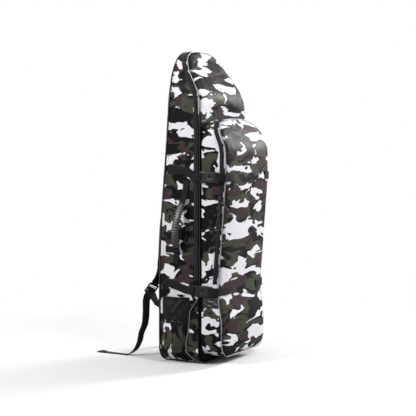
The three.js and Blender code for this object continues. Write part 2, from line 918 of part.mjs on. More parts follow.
const gripEnds = [0.075, 0.925];
const ribShares = [
  [0, 0],
  [0.12, 1],
  [0.5, 1],
  [0.62, 0],
];
function gripBody() {
  const points = [];
  const grooves = [];
  const gripAt = (share) => handlePoint(gripEnds[0] + share * (gripEnds[1] - gripEnds[0]));
  for (let rib = 0; rib < gripRibs; rib++) {
    for (const [along, height] of ribShares) {
      points.push(gripAt((rib + along) / gripRibs));
      grooves.push(gripRibDepth * (1 - height));
    }
  }
  points.push(gripAt(1));
  grooves.push(gripRibDepth);
  const body = sweep(points, handleAcross, (i) =>
    cushionSection(gripWidth - 2 * grooves[i], gripThickness - 2 * grooves[i]),
  );
  const channel = ribbon(
    bowPoints,
    handleAcross,
    handleWebbingWidth + 2 * seatGap,
    webbingThickness + 2 * seatGap,
  );
  return cutFrom(body, channel);
}
addPiece("side_handle_grip", gripBody(), rubber);

// Zip sliders that straddle the chain, each with a bridge and a pull that hangs in it
const eyeHeight = pullCord + 2 * seatGap;
const sliderFace = seatGap + sliderThickness;
const eyeCentre = sliderFace + eyeHeight / 2;
function sliderBody() {
  const half = sliderWidth / 2;
  const reach = sliderLength / 2;
  const neck = 0.72 * half;
  const shape = new THREE.Shape();
  shape.moveTo(-neck, -reach);
  shape.lineTo(neck, -reach);
  shape.lineTo(half, 0);
  shape.lineTo(half, 0.7 * reach);
  shape.lineTo(neck, reach);
  shape.lineTo(-neck, reach);
  shape.lineTo(-half, 0.7 * reach);
  shape.lineTo(-half, 0);
  shape.closePath();
  const body = plate(shape, sliderThickness).translate(0, 0, seatGap + sliderThickness / 2);
  const groove = block(
    zipChainWidth + 2 * seatGap,
    2 * sliderLength,
    2 * (zipChainHeight + seatGap),
    0,
    0,
    0,
  );
  const bridge = block(
    bridgeWidth,
    bridgeLength,
    eyeHeight + bridgeWire + seatGap,
    0,
    0,
    sliderFace + (eyeHeight + bridgeWire - seatGap) / 2,
  );
  const eye = block(2 * bridgeWidth, bridgeLength - 2 * bridgeWire, eyeHeight, 0, 0, eyeCentre);
  return cutFrom(joined(body, bridge), groove, eye);
}

// A loop of cord through the eye, hanging straight down
const outwards = new THREE.Vector3(0, 0, 1);
const loopSteps = 6;
function cordPull(length) {
  const radius = (pullWidth - pullCord) / 2;
  const foot = length - pullWidth / 2;
  const points = [];
  for (let i = 0; i < loopSteps; i++) {
    const angle = ((i + 0.5) / loopSteps) * Math.PI;
    points.push(new THREE.Vector3(radius * Math.cos(angle), radius * (Math.sin(angle) - 1), eyeCentre));
  }
  points.push(new THREE.Vector3(-radius, -foot, eyeCentre));
  for (let i = 1; i < loopSteps; i++) {
    const angle = (i / loopSteps) * Math.PI;
    points.push(
      new THREE.Vector3(-radius * Math.cos(angle), -foot - radius * Math.sin(angle), eyeCentre),
    );
  }
  points.push(new THREE.Vector3(radius, -foot, eyeCentre));
  return sweep(points, outwards, () => roundSection(pullCord / 2), true);
}

// A short loop of cord through the eye that leads to a moulded end, leaning towards the front
const shortLoopShares = [
  [0, 0],
  [0.06, 0],
  [0.13, -0.03],
  [0.2, -0.16],
  [0.25, -0.29],
  [0.13, -0.24],
  [-0.03, -0.2],
  [-0.085, -0.13],
  [-0.1, -0.05],
  [-0.06, 0],
];
function shortPull() {
  const points = shortLoopShares.map(
    ([across, up]) => new THREE.Vector3(across * shortPullLength, up * shortPullLength, eyeCentre),
  );
  const cord = sweep(points, outwards, () => roundSection(pullCord / 2), true);
  const way = new THREE.Vector3(Math.sin(shortPullTilt), -Math.cos(shortPullTilt), 0);
  const ends = [
    [0.34, 0.8],
    [0.42, 1],
    [0.9, 1],
    [1, 0.7],
  ];
  const end = sweep(
    ends.map(([share]) => way.clone().multiplyScalar(share * shortPullLength).setZ(eyeCentre)),
    outwards,
    (i) => roundSection(ends[i][1] * pullEndRadius),
  );
  return joined(cord, end);
}

// Stands a piece drawn on the face of a zip band, with its travel upwards, at its place on the bag.
const ontoBand = (geometry, out, travel, place) =>
  geometry.applyMatrix4(
    new THREE.Matrix4()
      .makeBasis(new THREE.Vector3().crossVectors(travel, out), travel, out)
      .setPosition(place),
  );

const bandMiddle = zipBandSetback + zipBandWidth / 2;
const bandFace = seatGap + zipBandThickness;
const pocketTravel = new THREE.Vector3(
  0,
  pocketFrontAt(fullStart) - pocketFrontAt(pocketZipEnd),
  fullStart - pocketZipEnd,
).normalize();
const leftwards = new THREE.Vector3(-1, 0, 0);
const rightwards = new THREE.Vector3(1, 0, 0);
const zips = [
  ["pocket", leftwards, pocketOutline, pocketFrontAt, pocketTravel, pocketSliderHeights, pullLength],
  ["main", rightwards, bagOutline, bagFrontAt, upright, mainSliderHeights, mainPullLength],
];
for (const [zip, out, outline, frontAt, travel, heights, loopLength] of zips) {
  for (const [i, level] of ["upper", "lower"].entries()) {
    const z = heights[i];
    const place = new THREE.Vector3(
      out.x * (outline.half + bandFace),
      frontAt(z) + bandMiddle,
      z,
    );
    const pull = zip === "pocket" && level === "upper" ? shortPull() : cordPull(loopLength);
    addPiece(`${zip}_zip_${level}_slider`, ontoBand(sliderBody(), out, travel, place), plastic);
    addPiece(`${zip}_zip_${level}_pull`, ontoBand(pull, out, travel, place), plastic);
  }
}

// Side pockets: a full camouflage part below and an open mesh part above it, hanging between two seams
const pocketEdgeGap = 2.4;
const meshFront = -36;
const meshMiddle = 173;
const sidePocketRear = rearRim - 1.3 * bagRimRadius;
const meshRear = sidePocketRear - meshHem;
const sidePocketBulges = [
  [0.45, 1],
  [0.7, 0.86],
  [1, 0.5],
];
const mouthBulge = 0.56;
const acrossSteps = 8;
const bulgeFullness = 2.4;

// One height of a bulging wall on the left side, from the front seam to the rear one and back inside it
function wallRing(height, bulge, front, rear, thickness) {
  const centre = bagFoot + bagCornerRadius;
  const down = Math.max(0, centre - height) / bagCornerRadius;
  const angle = Math.acos(down);
  const placeOut = (y, out) => {
    if (height >= centre) return new THREE.Vector3(-bagOutline.half - out, y, height);
    const reach = bagCornerRadius + out;
    return new THREE.Vector3(
      bagCornerRadius - bagOutline.half - reach * Math.sin(angle),
      y,
      centre - reach * Math.cos(angle),
    );
  };
  const outer = [];
  const inner = [];
  for (let i = 0; i <= acrossSteps; i++) {
    const share = i / acrossSteps;
    const y = front + share * (rear - front);
    const out = seatGap + bulge * (1 - Math.abs(2 * share - 1) ** bulgeFullness);
    outer.push(placeOut(y, out + thickness));
    inner.unshift(placeOut(y, out));
  }
  return [...outer, ...inner];
}
const seamAt = (z) => frontRim + wrapAt(z) + pocketEdgeGap;
const cornerBulges = [0, 0.12, 0.36, 0.68];
const pocketRings = cornerBulges.map((bulge, i) => {
  const angle = ((i + 1) / cornerSteps) * (Math.PI / 2);
  return [bagFoot + bagCornerRadius * (1 - Math.cos(angle)), bulge];
});
for (const [share, bulge] of sidePocketBulges) pocketRings.push([share * sidePocketTop, bulge]);
const sidePocketShell = () =>
  loft(
    pocketRings.map(([z, bulge]) =>
      wallRing(z, bulge * sidePocketBulge, seamAt(z), sidePocketRear, sidePocketWall),
    ),
  );
const meshBulges = [
  [sidePocketTop + seatGap, sidePocketBulges[2][1]],
  [meshMiddle, mouthBulge],
  [meshTop, mouthBulge],
];
const sideMeshShell = () =>
  loft(
    meshBulges.map(([z, bulge]) =>
      wallRing(
        z,
        bulge * sidePocketBulge,
        Math.max(seamAt(z), meshFront),
        meshRear,
        meshThickness,
      ),
    ),
  );
for (const [side, place] of sides) {
  addPiece(`${side}_side_pocket`, place(sidePocketShell()), coatedFabric);
  addPiece(`${side}_side_pocket_mesh`, place(sideMeshShell()), blackFabric);
}

// Shoulder straps: long pads on the back, ladder locks at their tips and webbing down to wings at the foot
// Places of the pads down the back: across, off the back panel, and their share of the bag's height
const padShares = [
  [62, 4.22, 0.812],
  [63, 6.07, 0.79],
  [66, 8.89, 0.738],
  [70, 12.17, 0.69],
  [75, 13.9, 0.628],
  [82, 11.66, 0.56],
  [88, 9.67, 0.498],
  [94, 11.19, 0.453],
  [100, 9.9, 0.39],
  [106, 9.34, 0.323],
  [112, 12.9, 0.28],
];
const padSizeShares = [
  [0, 0.95, 0.62],
  [0.05, 1, 0.85],
  [0.12, 1, 1],
  [0.7, 0.93, 1],
  [0.9, 0.7, 0.9],
  [1, 0, 0],
];
const lockDown = new THREE.Vector3(0, 0.6, -0.8);
const lockPlace = new THREE.Vector3(-lockAside, rearRim + backPanelFace + lockReach, lockHeight);
const padTip = lockPlace.clone().addScaledVector(lockDown, -1.55 * (lockLength / 2));
const padTurn = lockTurn / 2;
function shoulderPad() {
  const points = padShares.map(([across, off, share]) => {
    const z = share * bagHeight;
    return new THREE.Vector3(-across, bagRearAt(z) + backPanelFace + off, z);
  });
  for (const setback of [padTipWidth / 2, padTipThickness / 2, 0])
    points.push(padTip.clone().addScaledVector(lockDown, -setback));
  const span = points[0].z - padTip.z;
  const tipTurns = [padTurn, padTurn, padTurn, 0.6 * padTurn, 0.25 * padTurn];
  const acrosses = points.map((point, i) => lockAcross(tipTurns[points.length - 1 - i] ?? 0));
  return sweep(points, acrosses, (i) => {
    const along = (points[0].z - points[i].z) / span;
    const width = readTable(padSizeShares.map(([at, share]) => [at, share]), along);
    const thick = readTable(padSizeShares.map(([at, , share]) => [at, share]), along);
    return cushionSection(
      Math.max(padTipWidth, width * padWidth),
      Math.max(padTipThickness, thick * padThickness),
    );
  });
}

// The lock's own directions: along it, across it and outwards from the bag, for a turn about its length
const lockAcross = (turn) =>
  new THREE.Vector3(
    Math.cos(turn),
    lockDown.z * Math.sin(turn),
    -lockDown.y * Math.sin(turn),
  );
const lockOut = (turn) => new THREE.Vector3().crossVectors(lockAcross(turn), lockDown);
const inLock = (along, out, across = 0, turn = lockTurn) =>
  lockPlace
    .clone()
    .addScaledVector(lockDown, along)
    .addScaledVector(lockOut(turn), out)
    .addScaledVector(lockAcross(turn), across);

const lockSlots = [
  [-15.5, -9.5],
  [-7.5, -1.5],
  [1.5, 11],
];
const lockSlotHalf = webbingWidth / 2 + 2 * seatGap;
function ladderLock() {
  const shape = roundedRectangle(
    -lockLength / 2,
    lockLength / 2,
    -lockWidth / 2,
    lockWidth / 2,
    lockThickness,
  );
  for (const [from, to] of lockSlots)
    shape.holes.push(roundedRectangle(from, to, -lockSlotHalf, lockSlotHalf, 2 * seatGap));
  return plate(shape, lockThickness).applyMatrix4(
    new THREE.Matrix4()
      .makeBasis(
        lockDown,
        lockAcross(lockTurn),
        new THREE.Vector3().crossVectors(lockDown, lockAcross(lockTurn)),
      )
      .setPosition(lockPlace),
  );
}

// Webbing round the lock's top bar. Its two ends turn to face the tip of the pad.
const topBarWidth = lockLength / 2 + lockSlots[0][0];
const topBar = topBarWidth / 2 - lockLength / 2;
const topLoopRadius = Math.hypot(topBarWidth, lockThickness) / 2 + seatGap + webbingThickness / 2;
const loopShares = [0, 0.1, 0.25, 0.45, 0.65, 0.8, 0.92];
const twistFrom = 0.25;
const twistTo = 0.65;
function lockLoop() {
  const tipAt = padTip.clone().sub(lockPlace).dot(lockDown) + seatGap;
  const legFoot = topBar - topBarWidth / 2;
  const leg = loopShares.map((share) => [
    tipAt + share * (legFoot - tipAt),
    padTurn + (lockTurn - padTurn) * clampShare((share - twistFrom) / (twistTo - twistFrom)),
  ]);
  const points = [];
  const acrosses = [];
  for (const [along, turn] of leg) {
    points.push(inLock(along, topLoopRadius, 0, turn));
    acrosses.push(lockAcross(turn));
  }
  for (const [out, along] of roundBar(0, topBar, topLoopRadius, 1)) {
    points.push(inLock(along, out));
    acrosses.push(lockAcross(lockTurn));
  }
  for (const [along, turn] of [...leg].reverse()) {
    points.push(inLock(along, -topLoopRadius, 0, turn));
    acrosses.push(lockAcross(turn));
  }
  return ribbon(points, acrosses);
}

// A wing that is sewn to the foot of the back panel and narrows to the strap webbing
const wingRoot = new THREE.Vector3(-wingRootAside, rearRim + backPanelFace + seatGap, 0);
const wingTipOffset = new THREE.Vector3(-6, -21.5, -42);
const wingTip = lockPlace.clone().add(wingTipOffset);
const wingRootHeights = [165, 240];
const wingTipWidth = 27;
const wingThickness = 4.5;
const wingRunOut = 2.5;
const strapEntryOut = 13;
const strapEntryShift = 4;
const strapEntry = inLock(lockLength / 4 + seatGap, -strapEntryOut, strapEntryShift);
const wingReach = wingTip.clone().sub(wingRoot).setZ(0);
const wingFlat = wingReach.clone().normalize();
const wingTilt = Math.atan2(strapEntry.z - wingTip.z, strapEntry.clone().sub(wingTip).dot(wingFlat));
const wingWay = wingFlat.clone().multiplyScalar(Math.cos(wingTilt)).setZ(Math.sin(wingTilt));
const wingAcross = wingFlat.clone().multiplyScalar(-Math.sin(wingTilt)).setZ(Math.cos(wingTilt));
function strapWing() {
  const tipReach = (wingTipWidth / 2) * Math.sin(wingTilt);
  const tipRise = (wingTipWidth / 2) * Math.cos(wingTilt);
  const shape = new THREE.Shape();
  shape.moveTo(2 * seatGap, wingRootHeights[0]);
  shape.lineTo(wingReach.length() + tipReach, wingTip.z - tipRise);
  shape.lineTo(wingReach.length() - tipReach, wingTip.z + tipRise);
  shape.lineTo(2 * seatGap, wingRootHeights[1]);
  shape.closePath();
  return plate(shape, wingThickness).applyMatrix4(
    new THREE.Matrix4()
      .makeBasis(wingFlat, upright, new THREE.Vector3().crossVectors(wingFlat, upright))
      .setPosition(wingRoot),
  );
}

// Strap webbing: from the wing up behind the lock, over its middle bar, under its lip and down to the floor
const lockPath = [
  [4.5, -7.5, 1],
  [-0.8, -6, 0],
  [-3.8, -4.8, 0],
  [-5, -1.8, 0],
  [-3.8, 1.2, 0],
  [-0.8, 2.5, 0],
  [2.2, 2.5, 0],
  [4.2, 1.3, 0],
  [6, -0.7, 0],
  [8.2, -2.4, 0],
  [11, -3.3, 0],
  [19, -3.4, 0],
  [27, -3.9, 0],
];
const nearTail = [
  [-117.5, 146.5, 188],
  [-116.5, 148.5, 145.5],
  [-116, 153.5, 109],
  [-116, 167, 77],
  [-116, 173.5, 50],
  [-116, 190.5, 20],
  [-116, 212, 4.5],
  [-116, 224, 1.2],
  [-116, 334, 1.2],
];
const farTail = [
  [-117.5, 146.5, 188],
  [-117.5, 147.5, 145.5],
  [-119, 148.5, 109],
  [-122, 150, 77],
  [-127, 153, 50],
  [-136, 156, 20],
  [-152, 158, 4.5],
  [-164, 158, 1.2],
  [-258, 158, 1.2],
];
const backwards = new THREE.Vector3(0, 1, 0);
const entryShares = [0.4, 0.7, 1];
const entryTwistShares = [0.78, 0.52, 0.22];
function strapWebbing(tail, flatAcross) {
  const lock = lockAcross(lockTurn);
  const start = wingTip.clone().addScaledVector(wingWay, seatGap);
  const points = [start, start.clone().addScaledVector(wingWay, wingRunOut)];
  const acrosses = [wingAcross, wingAcross];
  entryShares.forEach((share, i) => {
    points.push(start.clone().lerp(strapEntry, share));
    acrosses.push(lock.clone().lerp(wingAcross, entryTwistShares[i]));
  });
  for (const [along, out, across] of lockPath) {
    points.push(inLock(along, out, across));
    acrosses.push(lock);
  }
  tail.forEach(([x, y, z], i) => {
    points.push(new THREE.Vector3(x, y, z));
    acrosses.push(lock.clone().lerp(flatAcross, clampShare(i / (tail.length - 3))));
  });
  return ribbon(points, acrosses);
}
for (const [side, place] of sides) {
  addPiece(`${side}_shoulder_pad`, place(shoulderPad()), blackFabric);
  addPiece(`${side}_ladder_lock`, place(ladderLock()), plastic);
  addPiece(`${side}_lock_loop`, place(lockLoop()), webbingFabric);
  addPiece(`${side}_strap_wing`, place(strapWing()), blackFabric);
}
addPiece("left_strap_webbing", strapWebbing(nearTail, rightwards), webbingFabric);
addPiece("right_strap_webbing", mirrored(strapWebbing(farTail, backwards.clone().negate())), webbingFabric);

// The carrying loop at the top of the back
const carryHeight = 0.856 * bagHeight;
const carryStand = 34;
const carryShares = [
  [1, 0],
  [0.78, 0],
  [0.66, 0.14],
  [0.55, 0.5],
  [0.36, 0.86],
  [0, 1],
];
const carryHalf = 64;
const carryFace = bagRearAt(carryHeight - webbingWidth / 2) + backPanelFace + sewnGap;
const carrySide = carryShares.map(
  ([across, out]) => new THREE.Vector3(-across * carryHalf, carryFace + out * carryStand, carryHeight),
);
const carryOther = carrySide
  .slice(0, -1)
  .reverse()
  .map((point) => point.clone().setX(-point.x));
addPiece("carry_loop", ribbon([...carrySide, ...carryOther], upright), webbingFabric);

export default bag;
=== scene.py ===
import math

import bmesh
import bpy
import numpy as np
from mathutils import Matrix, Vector


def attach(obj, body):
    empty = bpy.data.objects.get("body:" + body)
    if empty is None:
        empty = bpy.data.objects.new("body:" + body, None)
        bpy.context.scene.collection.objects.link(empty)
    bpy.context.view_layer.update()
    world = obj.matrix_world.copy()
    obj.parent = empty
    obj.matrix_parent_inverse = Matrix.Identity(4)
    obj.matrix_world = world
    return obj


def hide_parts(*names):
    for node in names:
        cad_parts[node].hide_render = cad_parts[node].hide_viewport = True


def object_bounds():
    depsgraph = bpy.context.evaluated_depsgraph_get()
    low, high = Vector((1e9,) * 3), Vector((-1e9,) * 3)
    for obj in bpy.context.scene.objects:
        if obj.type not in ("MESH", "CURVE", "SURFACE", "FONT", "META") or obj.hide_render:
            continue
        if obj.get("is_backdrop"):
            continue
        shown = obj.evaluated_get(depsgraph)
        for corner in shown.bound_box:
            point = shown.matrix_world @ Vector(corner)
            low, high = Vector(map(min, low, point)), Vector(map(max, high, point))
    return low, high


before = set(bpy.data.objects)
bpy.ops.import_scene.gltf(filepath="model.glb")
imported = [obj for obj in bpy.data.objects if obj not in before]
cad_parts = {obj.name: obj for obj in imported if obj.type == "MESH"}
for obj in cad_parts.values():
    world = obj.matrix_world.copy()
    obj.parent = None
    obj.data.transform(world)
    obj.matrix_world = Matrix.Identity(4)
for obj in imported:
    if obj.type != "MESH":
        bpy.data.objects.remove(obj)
cad_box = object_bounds()
MM = 0.001

# Sizes that several pieces share, in millimetres
GAP = 0.3  # between a piece and what it is sewn to
RIM = 5  # radius of the compartments' rims
PANEL_INSET = 2.6  # from an outline to the edge of its panel
BACK_FOAM = 12.1  # how far the padded back stands out
CORD_RADIUS = 1.2
HANDLE_TAPE = 20
ZIP_FROM, ZIP_MIDDLE, ZIP_FACE = 5, 7.5, 1.3  # the zip's start behind the front, half width and height
ON_SIDE, ON_TAPE = 156.2, 158.3  # from the bag's middle to a tape on its side, and to one on that tape
SIDES = (("left", -1), ("right", 1))


# The camera stands where the photograph was taken from
def place_camera():
    lens = bpy.data.cameras.new("camera")
    lens.sensor_width = 36.0
    lens.lens = 95.9
    lens.clip_end = 60.0
    camera = bpy.data.objects.new("camera", lens)
    bpy.context.scene.collection.objects.link(camera)
    camera.location = (-3.182, -1.742, 0.716)
    look = Vector((0.0382, 0.002, 0.4847)) - camera.location
    camera.rotation_euler = look.to_track_quat("-Z", "Y").to_euler()
    bpy.context.scene.camera = camera


place_camera()


# Material nodes, each named by what it does
class NodeTree:
    def __init__(self, tree):
        self.nodes, self.links = tree.nodes, tree.links

    def fill(self, socket, value):
        if isinstance(value, bpy.types.NodeSocket):
            self.links.new(value, socket)
        else:
            socket.default_value = value

    def put(self, kind, settings=None, **inputs):
        node = self.nodes.new(kind)
        for key, value in (settings or {}).items():
            setattr(node, key, value)
        for key, value in inputs.items():
            self.fill(node.inputs[key.replace("_", " ")], value)
        return node

    def fed(self, kind, settings, sockets, values, output=0):
        """A node whose numbered sockets take the values."""
        node = self.put(kind, settings)
        for socket, value in zip(sockets, values):
            self.fill(node.inputs[socket], value)
        return node.outputs[output]

    def sum(self, operation, a, b):
        return self.fed("ShaderNodeMath", {"operation": operation}, (0, 1), (a, b))

    def mixed(self, share, low, high):
        return self.fed("ShaderNodeMixShader", None, (0, 1, 2), (share, low, high))


class Finish(NodeTree):
    def __init__(self, name, roughness=0.5, **sockets):
        self.material = bpy.data.materials.new(name)
        self.material.use_nodes = True
        super().__init__(self.material.node_tree)
        self.shader = self.nodes["Principled BSDF"]
        self.shader.inputs["Roughness"].default_value = roughness
        for socket, value in sockets.items():
            self.shader.inputs[socket.replace("_", " ")].default_value = value
        self.coordinates = self.nodes.new("ShaderNodeTexCoord")

    def place(self, location=(0, 0, 0), scale=(1, 1, 1), turn=(0, 0, 0), source="Object"):
        return self.put(
            "ShaderNodeMapping",
            Vector=self.coordinates.outputs[source],
            Location=location,
            Scale=scale,
            Rotation=turn,
        ).outputs[0]

    def noise(self, where, scale, detail=2.0, rough=0.5):
        node = self.put("ShaderNodeTexNoise", Vector=where, Scale=scale, Detail=detail, Roughness=rough)
        return node.outputs["Fac"]

    def wave(self, where, pitch, direction):
        settings = {"wave_type": "BANDS", "bands_direction": direction, "wave_profile": "SIN"}
        node = self.put("ShaderNodeTexWave", settings, Vector=where, Scale=2 * math.pi / (20 * pitch))
        return node.outputs["Fac"]

    def step(self, value, at, soft=0.012):
        return self.put("ShaderNodeMapRange", Value=value, From_Min=at - soft, From_Max=at + soft).outputs[0]

    def blend(self, share, low, high):
        return self.fed("ShaderNodeMix", {"data_type": "RGBA"}, (0, 6, 7), (share, low, high), 2)

    def colour(self, value):
        self.fill(self.shader.inputs["Base Color"], value)

    def gloss(self, value, low, high):
        spread = self.put("ShaderNodeMapRange", Value=value, To_Min=low, To_Max=high).outputs[0]
        self.fill(self.shader.inputs["Roughness"], spread)

    def relief(self, height, distance, strength=1.0):
        bump = self.put("ShaderNodeBump", Height=height, Distance=distance, Strength=strength)
        self.fill(self.shader.inputs["Normal"], bump.outputs[0])


def rgb(hex_code, lift=1.0):
    parts = [int(hex_code[i : i + 2], 16) / 255 for i in (0, 2, 4)]
    parts = [p / 12.92 if p <= 0.04045 else ((p + 0.055) / 1.055) ** 2.4 for p in parts]
    return (*[min(1.0, p * lift) for p in parts], 1.0)


# Woodland print under a thin glossy coating, cut anew for each panel
def printed_cloth(name, shift, stretch=(1, 1, 1), white=0.56, size=0.74, recess_shade_from=None):
    cloth = Finish(name, 0.34, Specular_IOR_Level=0.035)
    where = cloth.place(shift, stretch)

    def moved(source, by, operation="ADD"):
        return cloth.fed("ShaderNodeVectorMath", {"operation": operation}, (0, 1), (source, by))

    def bent(source, scale, reach):
        swirl = cloth.put("ShaderNodeTexNoise", Vector=source, Scale=scale, Detail=0.0)
        centred = moved(swirl.outputs["Color"], (0.5, 0.5, 0.5), "SUBTRACT")
        pull = cloth.put("ShaderNodeVectorMath", {"operation": "SCALE"}, Vector=centred, Scale=reach)
        return moved(source, pull.outputs[0])

    warped = bent(bent(where, 21.0 / size, 0.06 * size), 48.0 / size, 0.03 * size)
    warped = bent(warped, 130.0 / size, 0.008 * size)
    fields = []
    for i, scale in enumerate((17.0, 18.0, 22.0, 21.0)):
        fields.append(cloth.noise(moved(warped, (3.1 * i, 1.7 * i, 2.3 * i)), scale / size, 0.6, 0.4))
    faded = cloth.noise(where, 6.0, 1.0)
    green = cloth.blend(faded, rgb("33352c"), rgb("4e5142"))
    umber = cloth.blend(faded, rgb("34282a"), rgb("49383a"))
    base = cloth.blend(cloth.step(fields[0], 0.5, 0.012), rgb("151415"), green)
    base = cloth.blend(cloth.step(fields[1], 0.53, 0.012), base, umber)
    base = cloth.blend(cloth.step(fields[2], 0.55, 0.012), base, rgb("151417"))
    base = cloth.blend(cloth.step(fields[3], white, 0.006), base, rgb("e6e4e8"))
    if recess_shade_from is not None:
        # Painted shade: below 0.775 m, cloth further forward than the given depth is painted near black,
        # standing in for the shade in the recess between the bag and its front pocket
        spot = cloth.put("ShaderNodeSeparateXYZ", Vector=cloth.place())
        low = cloth.step(cloth.sum("MULTIPLY", spot.outputs["Z"], -1.0), -0.775, 0.01)
        rim = cloth.step(cloth.sum("MULTIPLY", spot.outputs["Y"], -1.0), recess_shade_from, 0.0006)
        base = cloth.blend(cloth.sum("MULTIPLY", low, rim), base, rgb("0c0c0e"))
    cloth.colour(base)
    slanted = cloth.place(turn=(0, math.pi / 4, 0))
    grain = cloth.sum("ADD", cloth.wave(slanted, 0.0012, "X"), cloth.wave(slanted, 0.0012, "Z"))
    orange_peel = cloth.noise(cloth.place(), 700.0, 1.0)
    height = cloth.sum("ADD", cloth.sum("MULTIPLY", grain, 0.25), orange_peel)
    cloth.relief(height, 0.00012, 0.5)
    cloth.gloss(cloth.noise(cloth.place(), 30.0, 2.0), 0.36, 0.5)
    return cloth.material


def black_cloth(name, tone="0c0c0e", rough=(0.42, 0.62), pitch=0.0011, shine=0.12):
    cloth = Finish(name, 0.5, Specular_IOR_Level=shine)
    where = cloth.place()
    patchy = cloth.noise(where, 22.0, 3.0)
    cloth.colour(cloth.blend(patchy, rgb(tone, 0.8), rgb(tone, 1.5)))
    slanted = cloth.place(turn=(0.6, 0.6, 0))
    weave = cloth.sum("MULTIPLY", cloth.wave(slanted, pitch, "X"), cloth.wave(slanted, pitch, "Z"))
    cloth.relief(cloth.sum("ADD", weave, cloth.noise(where, 900.0, 1.0)), 0.00018, 0.6)
    cloth.gloss(patchy, *rough)
    return cloth.material


# Webbing reads its own length and width, so its ribs run across it round every bend
def woven_webbing(name, tone="1a1a1c", lift=1.0):
    tape = Finish(name, 0.62, Specular_IOR_Level=0.1, Sheen_Weight=0.02, Sheen_Roughness=0.5)
    where = tape.place(source="UV")
    ribs = tape.wave(where, 0.0011, "Y")
    twill = tape.wave(tape.place(source="UV", turn=(0, 0, 0.9)), 0.0024, "X")
    fibres = tape.noise(tape.place(source="UV", scale=(1, 0.25, 1)), 900.0, 2.0)
    worn = tape.noise(where, 35.0, 3.0)
    weave = tape.sum("MULTIPLY", ribs, twill)
    thread = tape.blend(weave, rgb(tone, 0.55 * lift), rgb(tone, 1.7 * lift))
    tape.colour(tape.blend(tape.sum("MULTIPLY", worn, 0.5), thread, rgb(tone, 1.1 * lift)))
    tape.relief(tape.sum("ADD", weave, tape.sum("MULTIPLY", fibres, 0.4)), 0.0003, 0.8)
    tape.gloss(fibres, 0.5, 0.75)
    return tape.material


def moulded(name, tone="09090b", rough=(0.26, 0.42), grain=0.00006, shine=0.2):
    part = Finish(name, 0.34, Specular_IOR_Level=shine)
    where = part.place()
    cloudy = part.noise(where, 60.0, 3.0)
    part.colour(part.blend(cloudy, rgb(tone, 0.8), rgb(tone, 1.4)))
    part.relief(part.noise(where, 2600.0, 2.0), grain, 0.7)
    part.gloss(cloudy, *rough)
    return part.material


def vinyl(name, pale="b4b4ba", dark="55555b", painted_shade_bands=()):
    trim = Finish(name, 0.36, Specular_IOR_Level=0.35)
    where = trim.place()
    dirt = trim.noise(where, 28.0, 4.0, 0.6)
    tone = trim.blend(trim.step(dirt, 0.56, 0.16), rgb(pale), rgb(dark))
    height = trim.put("ShaderNodeSeparateXYZ", Vector=where).outputs["Z"]
    # Painted shade: below each given height the piping takes the given darker tone
    for at, soft, below in painted_shade_bands:
        tone = trim.blend(trim.step(height, at, soft), rgb(below), tone)
    trim.colour(tone)
    trim.relief(trim.noise(where, 1200.0, 1.0), 0.00008, 0.6)
    trim.gloss(dirt, 0.3, 0.5)
    return trim.material


def zip_finish(name):
    tape = Finish(name, 0.4, Specular_IOR_Level=0.14)
    where = tape.place(source="UV")
    teeth = tape.wave(where, 0.0026, "Y")
    ribs = tape.wave(where, 0.0009, "X")
    across = tape.put("ShaderNodeSeparateXYZ", Vector=where).outputs[0]
    from_middle = tape.sum("ABSOLUTE", tape.sum("SUBTRACT", across, ZIP_MIDDLE * MM), 0)
    chain = tape.step(from_middle, 0.0026, 0.0001)
    speckle = tape.noise(tape.place(), 500.0, 2.0)
    tape.colour(tape.blend(speckle, rgb("08080a"), rgb("1b1b1f")))
    plain = tape.sum("MULTIPLY", ribs, 0.25)
    height = tape.fed("ShaderNodeMix", {"data_type": "FLOAT"}, (0, 2, 3), (chain, teeth, plain))
    tape.relief(height, 0.0006, 0.9)
    tape.gloss(speckle, 0.3, 0.5)
    return tape.material


def netting(name):
    net = Finish(name, 0.6, Specular_IOR_Level=0.15)
    where = net.place(source="UV")
    turned = net.place(source="UV", turn=(0, 0, math.pi / 4))
    holes = net.sum("MULTIPLY", net.wave(turned, 0.0034, "X"), net.wave(turned, 0.0034, "Y"))
    behind = net.noise(where, 26.0, 1.5)
    seen = net.blend(net.step(behind, 0.56, 0.03), rgb("121214"), rgb("4a4440"))
    net.colour(net.blend(net.step(holes, 0.42, 0.1), rgb("0a0a0c"), seen))
    net.relief(net.sum("SUBTRACT", 1.0, holes), 0.0005, 0.8)
    return net.material


CAMO = {
    # The side and front cloths carry painted shade near their front rims, behind the front pocket
    "side": printed_cloth("camouflage_side", (0.31, 0.12, 0.05), (1, 0.62, 1), white=0.595, recess_shade_from=0.0665),
    "front": printed_cloth("camouflage_front", (1.4, 0.2, 0.71), (0.34, 1, 1), white=0.585, recess_shade_from=-0.1),
    "pocket_front": printed_cloth("camouflage_pocket_front", (2.2, 1.1, 1.93), (0.33, 1, 1), white=0.585),
    "pocket_side": printed_cloth("camouflage_pocket_side", (0.9, 2.3, 3.4), (1, 0.7, 1), white=0.535),
    "side_pocket": printed_cloth("camouflage_side_pocket", (4.2, 0.3, 0.64), (1, 1.1, 0.6), white=0.565),
    "pad": printed_cloth("camouflage_pad", (5.2, 1.3, 0.14), (0.8, 1, 1), white=0.59),
}
BLACK = black_cloth("black_coated_fabric")
BACKING = black_cloth("black_spacer_fabric", "101012", (0.6, 0.8), 0.003, 0.15)
BASE = black_cloth("black_base_cloth", "0f0f11", (0.5, 0.7), 0.0022, 0.2)
SHINY = black_cloth("black_shiny_cloth", "0b0b0d", (0.24, 0.38), 0.0009, 0.5)
WEBBING = woven_webbing("black_webbing")
